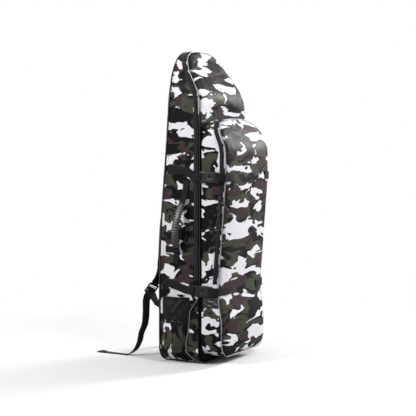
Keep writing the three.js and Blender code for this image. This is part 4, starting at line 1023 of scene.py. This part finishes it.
EYE = 4.5
LOOP_FOOT = -70.8
LOOP_LEG = [
    (2.6, -0.5, 0.3), (4.4, -4, 0.8), (4.3, -12, 1.1), (2.6, -21, 1.35), (0, -29, 1.45), (-3, -38, 1.1),
    (-4.9, -50, 0.5), (-5.2, -62, 0.2), (-4.2, -67.5, 0), (-2.2, -70.2, 0),
]


def cord_loop(length):
    leg = np.array(LOOP_LEG)
    back = leg[::-1] * (-1, 1, -1)
    points = np.vstack([[(0, 0.1, 0)], leg, [(0, LOOP_FOOT, 0)], back])
    path = smooth_path(points, 1.6, closed=True)
    return path * (1, (length - CORD_RADIUS) / -LOOP_FOOT, 1) + (0, 0, EYE)


SHORT_PULL, SHORT_TILT, SHORT_END = 46, 0.75, 2.7
SHORT_LOOP = [
    (0, 0), (0.06, 0), (0.13, -0.03), (0.2, -0.16), (0.25, -0.29), (0.13, -0.24), (-0.03, -0.2),
    (-0.085, -0.13), (-0.1, -0.05), (-0.06, 0),
]
SHORT_GRIP = [
    (0.33, 0.1), (0.335, 0.55), (0.35, 0.78), (0.4, 1), (0.5, 1), (0.52, 0.86), (0.55, 0.86), (0.57, 1),
    (0.62, 1), (0.64, 0.86), (0.67, 0.86), (0.69, 1), (0.94, 1), (0.98, 0.85), (1.0, 0.5), (1.003, 0.1),
]
POCKET_ZIP_LEAN = 24 / 317


def short_pull(place, body, node):
    loop = smooth_path([(SHORT_PULL * a, SHORT_PULL * b, EYE) for a, b in SHORT_LOOP], 1.0, closed=True)
    piece = round_tube("pocket_upper_cord_loop", place(loop), CORD_RADIUS, closed=True)
    dress(piece, CORD, body, [node])
    way = np.array([math.sin(SHORT_TILT), -math.cos(SHORT_TILT), 0])
    path = [way * s * SHORT_PULL + (0, 0, EYE) for s, _ in SHORT_GRIP]
    sizes = [size for _, size in SHORT_GRIP]
    grip = round_tube("pocket_upper_moulded_pull", place(path), SHORT_END, 14, sizes=sizes)
    dress(grip, PLASTIC, body, [node])


def zip_pulls():
    for which, out, half, face, travel, heights, length in (
        ("pocket", (-1, 0, 0), POCKET["half"], pocket_front, (0, -POCKET_ZIP_LEAN, 1), (527, 500), 72),
        ("main", (1, 0, 0), BAG["half"], bag_front, (0, 0, 1), (478, 395), 66),
    ):
        for level, height in zip(("upper", "lower"), heights):
            place = band_place(out, height, half, float(face(height)), travel)
            body, node = f"{which}_{level}_pull", f"{which}_zip_{level}_pull"
            if (which, level) == ("pocket", "upper"):
                short_pull(place, body, node)
            else:
                loop = place(cord_loop(length))
                piece = round_tube(f"{which}_{level}_cord_pull", loop, CORD_RADIUS, closed=True)
                dress(piece, CORD, body, [node])


zip_pulls()


# Side pockets: a gathered cloth pocket under an open mesh one, bulging between two seams
def spread_table(rows, at):
    return table(smooth_path([(a, b, 0) for a, b in rows], (rows[-1][0] - rows[0][0]) / 200), at)


POCKET_BULGE = [
    (3.3, 0), (6.34, 0), (15.02, 0.12), (27.99, 0.36), (43.3, 0.68), (62.1, 1), (96.6, 0.86), (138, 0.5),
]
WALL = (1 - np.cos(np.linspace(0, math.pi, 65))) / 2
WALL_WIDTH, MESH_WIDTH, POCKET_SWELL, MESH_SWELL = 130, 98, 25, 14
HUMP = 1 - np.abs(2 * WALL - 1) ** 2.4
CORNER = BAG["corner"]
CORNER_TOP = BAG["foot"] + CORNER


def side_wall(z, y, out, m):
    """Places standing out from the side of the bag and round its lower corner."""
    angle = np.arccos(np.clip((CORNER_TOP - z) / CORNER, 0, 1))
    reach = CORNER + out
    flat = z >= CORNER_TOP
    x = np.where(flat, BAG["half"] + out, BAG["half"] - CORNER + reach * np.sin(angle))
    return np.stack([m * x, y, np.where(flat, z, CORNER_TOP - reach * np.cos(angle))], -1)


def wall_shell(name, z, front, rear, outer, thick, m):
    """A thin bulging wall: rows of its outside and back along its inside."""
    y = front[:, None] + WALL * (rear - front)[:, None]
    height = np.repeat(z[:, None], len(WALL), 1)
    outside = side_wall(height, y, outer + thick, m)
    inner = side_wall(height, y, outer, m)[:, ::-1]
    u = np.concatenate([WALL, WALL[::-1]]) * WALL_WIDTH
    uv = np.stack(np.broadcast_arrays(u, (z - z[0])[:, None]), -1)
    return rows_to_mesh(name, np.concatenate([outside, inner], 1), uv=uv)


def side_pocket(side, m):
    z = np.concatenate([np.linspace(6.4, 43, 12), np.linspace(46, 100, 20), np.linspace(102, 137.6, 26)])
    up = z[:, None]
    bulge = POCKET_SWELL * spread_table(POCKET_BULGE, z)[:, None] * HUMP
    pleats = np.sin(2 * math.pi * (WALL * 15 + 0.35 * np.sin(WALL * 9)))
    rise = 1.0 * ease((up - 84) / 50) ** 2 * pleats * HUMP**0.5
    at_rear = np.exp(-(((WALL - 0.82) / 0.14) ** 2)) * ease((up - 60) / 60)
    rise = rise + 1.5 * at_rear * np.sin(2 * math.pi * (WALL * 9 + up / 26))
    rise = rise + 1.1 * waves(WALL * WALL_WIDTH, up, 46, 60, 51) * HUMP
    outer = GAP + np.maximum(bulge + rise, 0.05 * HUMP)
    piece = wall_shell(f"{side}_pocket_cloth", z, FRONT_RIM + wrap(z) + 2.4, 66.0, outer, 1.3, m)
    dress(piece, CAMO["side_pocket"], stands_for=[f"{side}_side_pocket"])

    # The elastic hem, pulled in at the top of the cloth
    z = np.array([128.4, 129.0, 130.6, 133, 135.4, 137.2, 138.0])
    puff = np.array([0.1, 0.9, 1.5, 1.7, 1.5, 0.9, 0.1])[:, None]
    bulge = POCKET_SWELL * spread_table(POCKET_BULGE, z)[:, None] * HUMP
    fine = np.sin(2 * math.pi * (WALL * 34 + 0.6 * np.sin(WALL * 13)))
    outer = 1.1 + bulge + HUMP**0.5 * (puff * (1 + 0.28 * fine) - 0.4)
    piece = wall_shell(f"{side}_pocket_elastic_hem", z, FRONT_RIM + wrap(z) + 2.6, 65.6, outer, 0.9, m)
    dress(piece, BLACK)

    # Mesh above, with a bound top edge
    def mesh_front(z):
        return np.maximum(FRONT_RIM + wrap(z) + 2.4, -36)

    z = np.linspace(138.5, 213.6, 34)
    high = POCKET_SWELL * table([(138.3, 0.5), (173, 0.56), (214, 0.56)], z)[:, None]
    slack = 0.8 * waves(WALL * MESH_WIDTH, z[:, None], 40, 44, 57) * HUMP
    outer = GAP + np.maximum(high * HUMP + slack, 0)
    piece = wall_shell(f"{side}_pocket_netting", z, mesh_front(z), 62.0, outer, 0.9, m)
    dress(piece, NET, stands_for=[f"{side}_side_pocket_mesh"])
    z = np.array([203.4, 204, 206, 209, 211.6, 213.4, 213.9])
    puff = np.array([0.1, 0.6, 0.9, 0.9, 0.9, 0.6, 0.1])[:, None]
    outer = 0.9 + MESH_SWELL * HUMP + HUMP**0.5 * (puff * (1 + 0.12 * fine) - 0.3)
    piece = wall_shell(f"{side}_pocket_bound_edge", z, mesh_front(z), 62.0, outer, 0.8, m)
    dress(piece, BLACK)


for side, m in SIDES:
    side_pocket(side, m)

# The shoulder straps' lock hangs in a slanting plane of its own
LOCK_DOWN = np.array([0, 0.6, -0.8])
LOCK_PLACE = np.array([-116, 127.5, 226])
LOCK_TURN = 0.75


def lock_across(turn):
    turn = np.asarray(turn, float)[..., None]
    return np.concatenate([np.cos(turn), -0.8 * np.sin(turn), -0.6 * np.sin(turn)], -1)


def in_lock(along, out, across=0.0, turn=LOCK_TURN):
    side = lock_across(turn)
    return LOCK_PLACE + along * LOCK_DOWN + out * np.cross(side, LOCK_DOWN) + across * side


def flip(points, m):
    """The left side's places, or their mirror image for the right side."""
    points = np.array(points, float)
    points[..., 0] *= -m
    return points


# Shoulder pads: printed cloth outside, spacer mesh inside, bound all round
PAD = [
    (62, 4.22, 0.812), (63, 6.07, 0.79), (66, 8.89, 0.738), (70, 12.17, 0.69), (75, 13.9, 0.628),
    (82, 11.66, 0.56), (88, 9.67, 0.498), (94, 11.19, 0.453), (100, 9.9, 0.39), (106, 9.34, 0.323),
    (112, 12.9, 0.28),
]
SEAM_IN = 0.9  # from the pad's edge to its seam
PAD_SIZE = [(0, 0.95, 0.62), (0.05, 1, 0.85), (0.12, 1, 1), (0.7, 0.93, 1), (0.9, 0.7, 0.9), (1, 0, 0)]
PAD_GAP = 29.45
PAD_TIP = LOCK_PLACE - PAD_GAP * LOCK_DOWN


class Pad:
    def __init__(self):
        top = BAG["top"]
        points = [(-a, float(bag_rear(s * top)) + BACK_FOAM + off, s * top) for a, off, s in PAD]
        points += [tuple(PAD_TIP - LOCK_DOWN * back) for back in (17, 4, 0)]
        turns = [0.0] * (len(points) - 5) + [0.094, 0.225, 0.375, 0.375, 0.375]
        both = smooth_path(np.hstack([points, lock_across(turns)]), 4.0)
        self.path = both[:, :3]
        self.along = unit(np.gradient(self.path, axis=0))
        self.side = square_to(both[:, 3:], self.along)
        self.out = np.cross(self.side, self.along)
        if self.out[0][1] < 0:
            self.out = -self.out
        span = self.path[0][2] - PAD_TIP[2]
        share = (self.path[0][2] - self.path[:, 2]) / span
        self.wide = np.maximum(34, 60 * table([(a, b) for a, b, _ in PAD_SIZE], share)) / 2
        self.thick = np.maximum(8, 12 * table([(a, c) for a, _, c in PAD_SIZE], share)) / 2
        self.s = lengths(self.path)

    def half(self, name, sign, m):
        """One face of the pad: crowned between its seams, with sewn lines across and a flat inner side."""
        across = np.sin(np.linspace(-math.pi / 2, math.pi / 2, 25))
        s = self.s[:, None]
        crown = (1 - np.abs(across)[None, :] ** 3.4) ** 0.62
        sewn = np.exp(-((((s / 58.0 + 0.5) % 1 - 0.5) * 58 / 3.2) ** 2)) * (1 - np.abs(across)[None, :] ** 6)
        ends = ease(s / 14) * ease((self.s[-1] - s) / 10)
        puff = 0.5 * waves(s, across[None, :] * 30, 50, 40, 61)
        height = self.thick[:, None] * (0.2 + 0.8 * crown * (0.35 + 0.65 * ends))
        height = np.maximum(height - 1.1 * sewn * crown + puff * crown - 0.35, 0.4)
        spread = across[None, :] * (self.wide[:, None] - SEAM_IN)
        base = self.path[:, None] + spread[..., None] * self.side[:, None]
        top = base + sign * height[..., None] * self.out[:, None]
        under = base[:, ::-1] + 0 * top
        rows = flip(np.concatenate([top, under[:, 1:-1]], 1), m)
        return rows_to_mesh(name, rows)

    def binding(self, name, m):
        reach = (self.wide[:, None] - SEAM_IN) * self.side
        top = np.linspace(1, -1, 9)[1:-1, None] * reach[0] + self.path[0]
        foot = np.linspace(-1, 1, 7)[1:-1, None] * reach[-1] + self.path[-1]
        ring = np.vstack([(self.path + reach)[::-1], top, self.path - reach, foot])
        return round_tube(name, flip(smooth_path(ring, 5.0, closed=True), m), 1.75, 10, closed=True)


def shoulder_strap(side, m):
    pad = Pad()
    node = f"{side}_shoulder_pad"
    outside = pad.half(f"{side}_pad_printed_face", 1, m)
    dress(outside, CAMO["pad"], stands_for=[node])
    inside_ = pad.half(f"{side}_pad_soft_face", -1, m)
    dress(inside_, BACKING, stands_for=[node])
    dress(pad.binding(f"{side}_pad_binding", m), BLACK)

    # Webbing round the lock's top bar
    tip_at, leg_foot, radius = GAP - PAD_GAP, -15.5, math.hypot(3.5, 2.4) / 2 + GAP + 0.9
    leg = []
    for share in (0, 0.1, 0.25, 0.45, 0.65, 0.8, 0.92):
        turn = LOCK_TURN / 2 * (1 + min(1, max(0, (share - 0.25) / 0.4)))
        leg.append((tip_at + share * (leg_foot - tip_at), turn))
    route = [(in_lock(a, radius, 0, t), lock_across(t)) for a, t in leg]
    bar = bar_loop(0, -17.25, radius, 1)
    route += [(in_lock(along, out), lock_across(LOCK_TURN)) for out, along in bar]
    route += [(in_lock(a, -radius, 0, t), lock_across(t)) for a, t in leg[::-1]]
    loop = Tape(flip([p for p, _ in route], m), flip([w for _, w in route], m), face=(0, 1, 0.3))
    dress(loop.mesh(f"{side}_lock_tape", seed=71), WEBBING, stands_for=[f"{side}_lock_loop"])
    rounded_copy(f"{side}_padded_wing", f"{side}_strap_wing", BLACK, width=1.3, segments=3)
    tail(side, m)


LOCK_WAY = [
    (4.5, -7.5, 1), (-0.8, -6, 0), (-3.8, -4.8, 0), (-5, -1.8, 0), (-3.8, 1.2, 0), (-0.8, 2.5, 0),
    (2.2, 2.5, 0), (4.2, 1.3, 0), (6, -0.7, 0), (8.2, -2.4, 0), (11, -3.3, 0), (19, -3.4, 0), (27, -3.9, 0),
]
NEAR_TAIL = [
    (-117.5, 146.5, 188), (-116.5, 148.5, 145.5), (-116, 153.5, 109), (-116, 167, 77), (-116, 173.5, 50),
    (-116, 190.5, 20), (-116, 212, 4.5), (-116, 224, 1.2), (-116, 334, 1.2),
]
FAR_TAIL = [
    (-117.5, 146.5, 188), (-117.5, 147.5, 145.5), (-119, 148.5, 109), (-122, 150, 77), (-127, 153, 50),
    (-136, 156, 20), (-152, 158, 4.5), (-164, 158, 1.2), (-258, 158, 1.2),
]


def tail(side, m):
    """Strap webbing from the wing up through the lock and down to the floor."""
    root, tip = np.array([-128, 84.9, 0]), LOCK_PLACE + (-6, -21.5, -42)
    entry = in_lock(9.8, -13, 4)
    flat_way = unit((tip - root) * (1, 1, 0))
    tilt = math.atan2(entry[2] - tip[2], (entry - tip) @ flat_way)
    way = flat_way * math.cos(tilt) + np.array([0, 0, math.sin(tilt)])
    wide = -flat_way * math.sin(tilt) + np.array([0, 0, math.cos(tilt)])
    lock = lock_across(LOCK_TURN)
    start = tip + GAP * way
    route = [(start, wide), (start + 2.5 * way, wide)]
    for share, twist in zip((0.4, 0.7, 1), (0.78, 0.52, 0.22)):
        route.append((start + share * (entry - start), lock + twist * (wide - lock)))
    route += [(in_lock(a, o, c), lock) for a, o, c in LOCK_WAY]
    places = NEAR_TAIL if side == "left" else FAR_TAIL
    flat = np.array([1, 0, 0]) if side == "left" else np.array([0, -1, 0])
    for i, place in enumerate(places):
        route.append((np.array(place, float), lock + min(1, i / (len(places) - 3)) * (flat - lock)))
    tape = Tape(flip([p for p, _ in route], m), flip([w for _, w in route], m), face=(-1, 0.4, 0))
    piece = tape.mesh(f"{side}_strap_tail", seed=73)
    dress(piece, PALE_WEBBING, stands_for=[f"{side}_strap_webbing"])
    fold_tail(side, tape)


def fold_tail(side, tape):
    """The tail's end is folded back on itself and sewn."""
    end = tape.length
    s = np.linspace(end - 24, end - 1.2, 12)
    spots = tape.at(s, 0, 0)[0] - tape.look_up(tape.face, s) * tape.thick / 2
    spots[:, 2] += 1.95 + 0.5 * np.sin(np.linspace(0, math.pi, 12))
    across = tape.look_up(tape.side, s)
    fold = Tape(spots, across, width=24.4, thick=1.7, face=(0, 0, 1), pitch=1.2)
    dress(fold.mesh(f"{side}_tail_fold", seed=75), PALE_WEBBING)
    thread_runs(f"{side}_tail_stitches", crossed_box(fold, 3, fold.length - 3)[:4], material=PALE_THREAD)


for side, m in SIDES:
    shoulder_strap(side, m)


# The carrying loop at the top of the back
def carrying_loop():
    face = float(bag_rear(837.5)) + BACK_FOAM + 1.2
    shares = [(1, 0), (0.78, 0), (0.66, 0.14), (0.55, 0.5), (0.36, 0.86), (0, 1)]
    half = [(-64 * a, face + 34 * o, 850.0) for a, o in shares]
    points = half + [(-x, y, z) for x, y, z in half[-2::-1]]
    tape = Tape(points, face=(0, 1, 0))
    dress(tape.mesh("carrying_tape", seed=81), WEBBING, stands_for=["carry_loop"])
    runs = crossed_box(tape, 1.5, 13.5)[:4] + crossed_box(tape, tape.length - 13.5, tape.length - 1.5)[:4]
    thread_runs("carrying_tape_stitches", runs)


carrying_loop()

# The base and the sheet that stiffens the back
rounded_copy("base_cloth", "base_panel", BASE, width=1.0, segments=3)
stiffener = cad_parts["back_stiffener"]
stiffener.data.materials.clear()
stiffener.data.materials.append(STIFFENER)


# Small pieces that are sewn to the cloth
def small_patch(name, material, places, lift, puff, seed):
    """A piece of cloth sewn flat along its edges, from four corners given as places."""
    a, b, c, d = (np.array(p, float) for p in places)
    u, v = np.meshgrid(np.linspace(0, 1, 25), np.linspace(0, 1, 25))
    grid = (1 - v)[..., None] * ((1 - u)[..., None] * a + u[..., None] * b)
    grid = grid + v[..., None] * ((1 - u)[..., None] * d + u[..., None] * c)
    normal = unit(np.cross(b - a, d - a))
    if normal @ np.asarray(lift, float) < 0:
        normal = -normal
    edge = np.minimum.reduce([u, 1 - u, v, 1 - v])
    size = max(np.linalg.norm(b - a), np.linalg.norm(d - a))
    fill = 0.6 + 0.8 * waves(u * size, v * size, 22, 16, seed)
    rise = 0.9 * ease(edge / 0.03) + puff * ease(edge / 0.25) * fill
    rise = rise - 0.35 * np.exp(-(((edge - 0.07) / 0.02) ** 2))
    return dress(slab(name, grid + rise[..., None] * normal, grid - 0.5 * normal), material)


for side, m in SIDES:
    x = m * 150.4
    corners = [(x, -137.5, 184), (x, -80, 184), (x, -80, 221), (x, -137.5, 221)]
    small_patch(f"{side}_zip_end_patch", SHINY, corners, (m, 0, 0), 1.2, 91)


# A short webbing tab below the side handle, and a band of elastic across the left netting
tab = Tape([(-ON_SIDE, y, 363) for y in (22, 31, 41, 50)], width=HANDLE_TAPE)
dress(tab.mesh("side_webbing_tab", seed=93), WEBBING)
thread_runs("side_webbing_tab_stitches", crossed_box(tab, 1.5, tab.length - 1.5))
shares = np.linspace(0, 1, 9)
band_y = -14.2 + shares * 34.4
band_x = -157.0 - MESH_SWELL * (1 - np.abs(2 * (band_y + 36) / MESH_WIDTH - 1) ** 2.4)
band = Tape(np.stack([band_x, band_y, 207.6 - shares * 43.3], -1), (0, 0.78, 0.62), width=10, thick=1.2)
dress(band.mesh("left_netting_band", seed=95), PALE_WEBBING)


# Sewing lines that run beside the trim, on both front panels and along both sides
def panel_stitches(name, outline, inset, face, foot=0.0):
    x, z = outline_loop(outline, inset)
    path = np.stack([x, face(x, z, np.full(len(x), inset - PANEL_INSET)), z], -1)
    keep = z >= foot
    thread_runs(name, [(path[keep], np.tile([0, -1.0, 0], (int(keep.sum()), 1)))])


def side_stitches(name, outline, front, rear, share, folds, foot):
    x, z = outline_loop(outline)
    y = front(z) + RIM + share * (rear(z) - RIM - front(z) - RIM)
    rows = np.stack([x, y, z], -1)
    outward = outward_of(rows)
    rows = rows - outward * np.clip(folds(rows, share), 0, 6)[:, None]
    keep = z >= foot
    thread_runs(name, [(rows[keep], outward[keep])])


panel_stitches("pocket_front_stitches", POCKET, 9, pocket_front_face)
panel_stitches("bag_front_stitches", BAG, 9, bag_front_face, 800)
side_stitches("bag_side_stitches", BAG, bag_front, bag_rear, 0.15, bag_folds, 226)
side_stitches("bag_rear_stitches", BAG, bag_front, bag_rear, 0.96, bag_folds, 226)
side_stitches("pocket_side_stitches", POCKET, pocket_front, pocket_rear, 0.34, pocket_folds, 262)


# Floor, lights and a white surround that only the camera and shiny surfaces see
def light_stage():
    bpy.ops.object.select_all(action="DESELECT")
    bpy.ops.mesh.primitive_plane_add(size=30, location=(0, 0, 0))
    floor = bpy.context.object
    floor.name = "floor"
    ground = Finish("pale_floor", 0.9, Specular_IOR_Level=0.1)
    patch = ground.noise(ground.place(), 1.5, 3.0)
    pale = ground.blend(patch, (0.88, 0.88, 0.885, 1), (0.92, 0.92, 0.92, 1))
    path = ground.put("ShaderNodeLightPath")
    ground.colour(ground.blend(path.outputs["Is Camera Ray"], (0.42, 0.42, 0.43, 1), pale))
    ground.relief(ground.noise(ground.place(), 300.0, 2.0), 0.0002, 0.2)
    # Away from the object the floor fades into the white surround
    away = ground.put("ShaderNodeVectorMath", {"operation": "LENGTH"}, Vector=ground.place())
    fade = ground.put("ShaderNodeMapRange", Value=away.outputs["Value"], From_Min=0.35, From_Max=1.1).outputs[0]
    seen = ground.sum("MAXIMUM", path.outputs["Is Camera Ray"], path.outputs["Is Glossy Ray"])
    seen = ground.sum("MAXIMUM", seen, path.outputs["Is Transmission Ray"])
    glow = ground.put("ShaderNodeEmission", Color=(1, 1, 1, 1), Strength=1.0)
    faded = ground.mixed(ground.sum("MULTIPLY", fade, seen), ground.shader.outputs[0], glow.outputs[0])
    ground.fill(ground.nodes["Material Output"].inputs["Surface"], faded)
    floor.data.materials.append(ground.material)
    floor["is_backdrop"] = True
    spots = [
        ("key_light", (-1.0, -2.5, 2.9), (0.0, -0.1, 0.95), 1.3, 11, 80),
        ("front_softbox", (3.4, -1.9, 2.0), (0.0, -0.1, 0.85), 1.6, 58, 90),
        ("side_softbox", (-3.1, 1.9, 2.3), (-0.1, 0.0, 0.85), 1.4, 27, 80),
        ("top_light", (0.2, 0.2, 3.6), (0.0, 0.0, 0.5), 2.0, 10, 120),
    ]
    for name, place, aim, size, power, spread in spots:
        lamp = bpy.data.lights.new(name, "AREA")
        lamp.shape = "DISK"
        lamp.size = size
        lamp.energy = power
        lamp.spread = math.radians(spread)
        obj = bpy.data.objects.new(name, lamp)
        bpy.context.scene.collection.objects.link(obj)
        obj.location = place
        obj.rotation_euler = (Vector(aim) - Vector(place)).to_track_quat("-Z", "Y").to_euler()
        obj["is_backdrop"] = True
    world = bpy.data.worlds.new("surround")
    bpy.context.scene.world = world
    world.use_nodes = True
    sky = NodeTree(world.node_tree)
    sky.nodes.clear()
    white = sky.put("ShaderNodeBackground", Strength=1.0, Color=(1, 1, 1, 1))
    lit = sky.put("ShaderNodeBackground", Strength=0.16, Color=(0.93, 0.96, 1.0, 1))
    rays = sky.put("ShaderNodeLightPath").outputs
    seen = sky.sum("MAXIMUM", rays["Is Camera Ray"], rays["Is Transmission Ray"])
    seen = sky.sum("MAXIMUM", seen, rays["Is Glossy Ray"])
    shown = sky.mixed(seen, lit.outputs[0], white.outputs[0])
    sky.fill(sky.put("ShaderNodeOutputWorld").inputs[0], shown)


light_stage()
bpy.context.scene.view_settings.view_transform = "Standard"

dressed_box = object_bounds()
corners = {"cad": [list(c) for c in cad_box], "visual": [list(c) for c in dressed_box]}
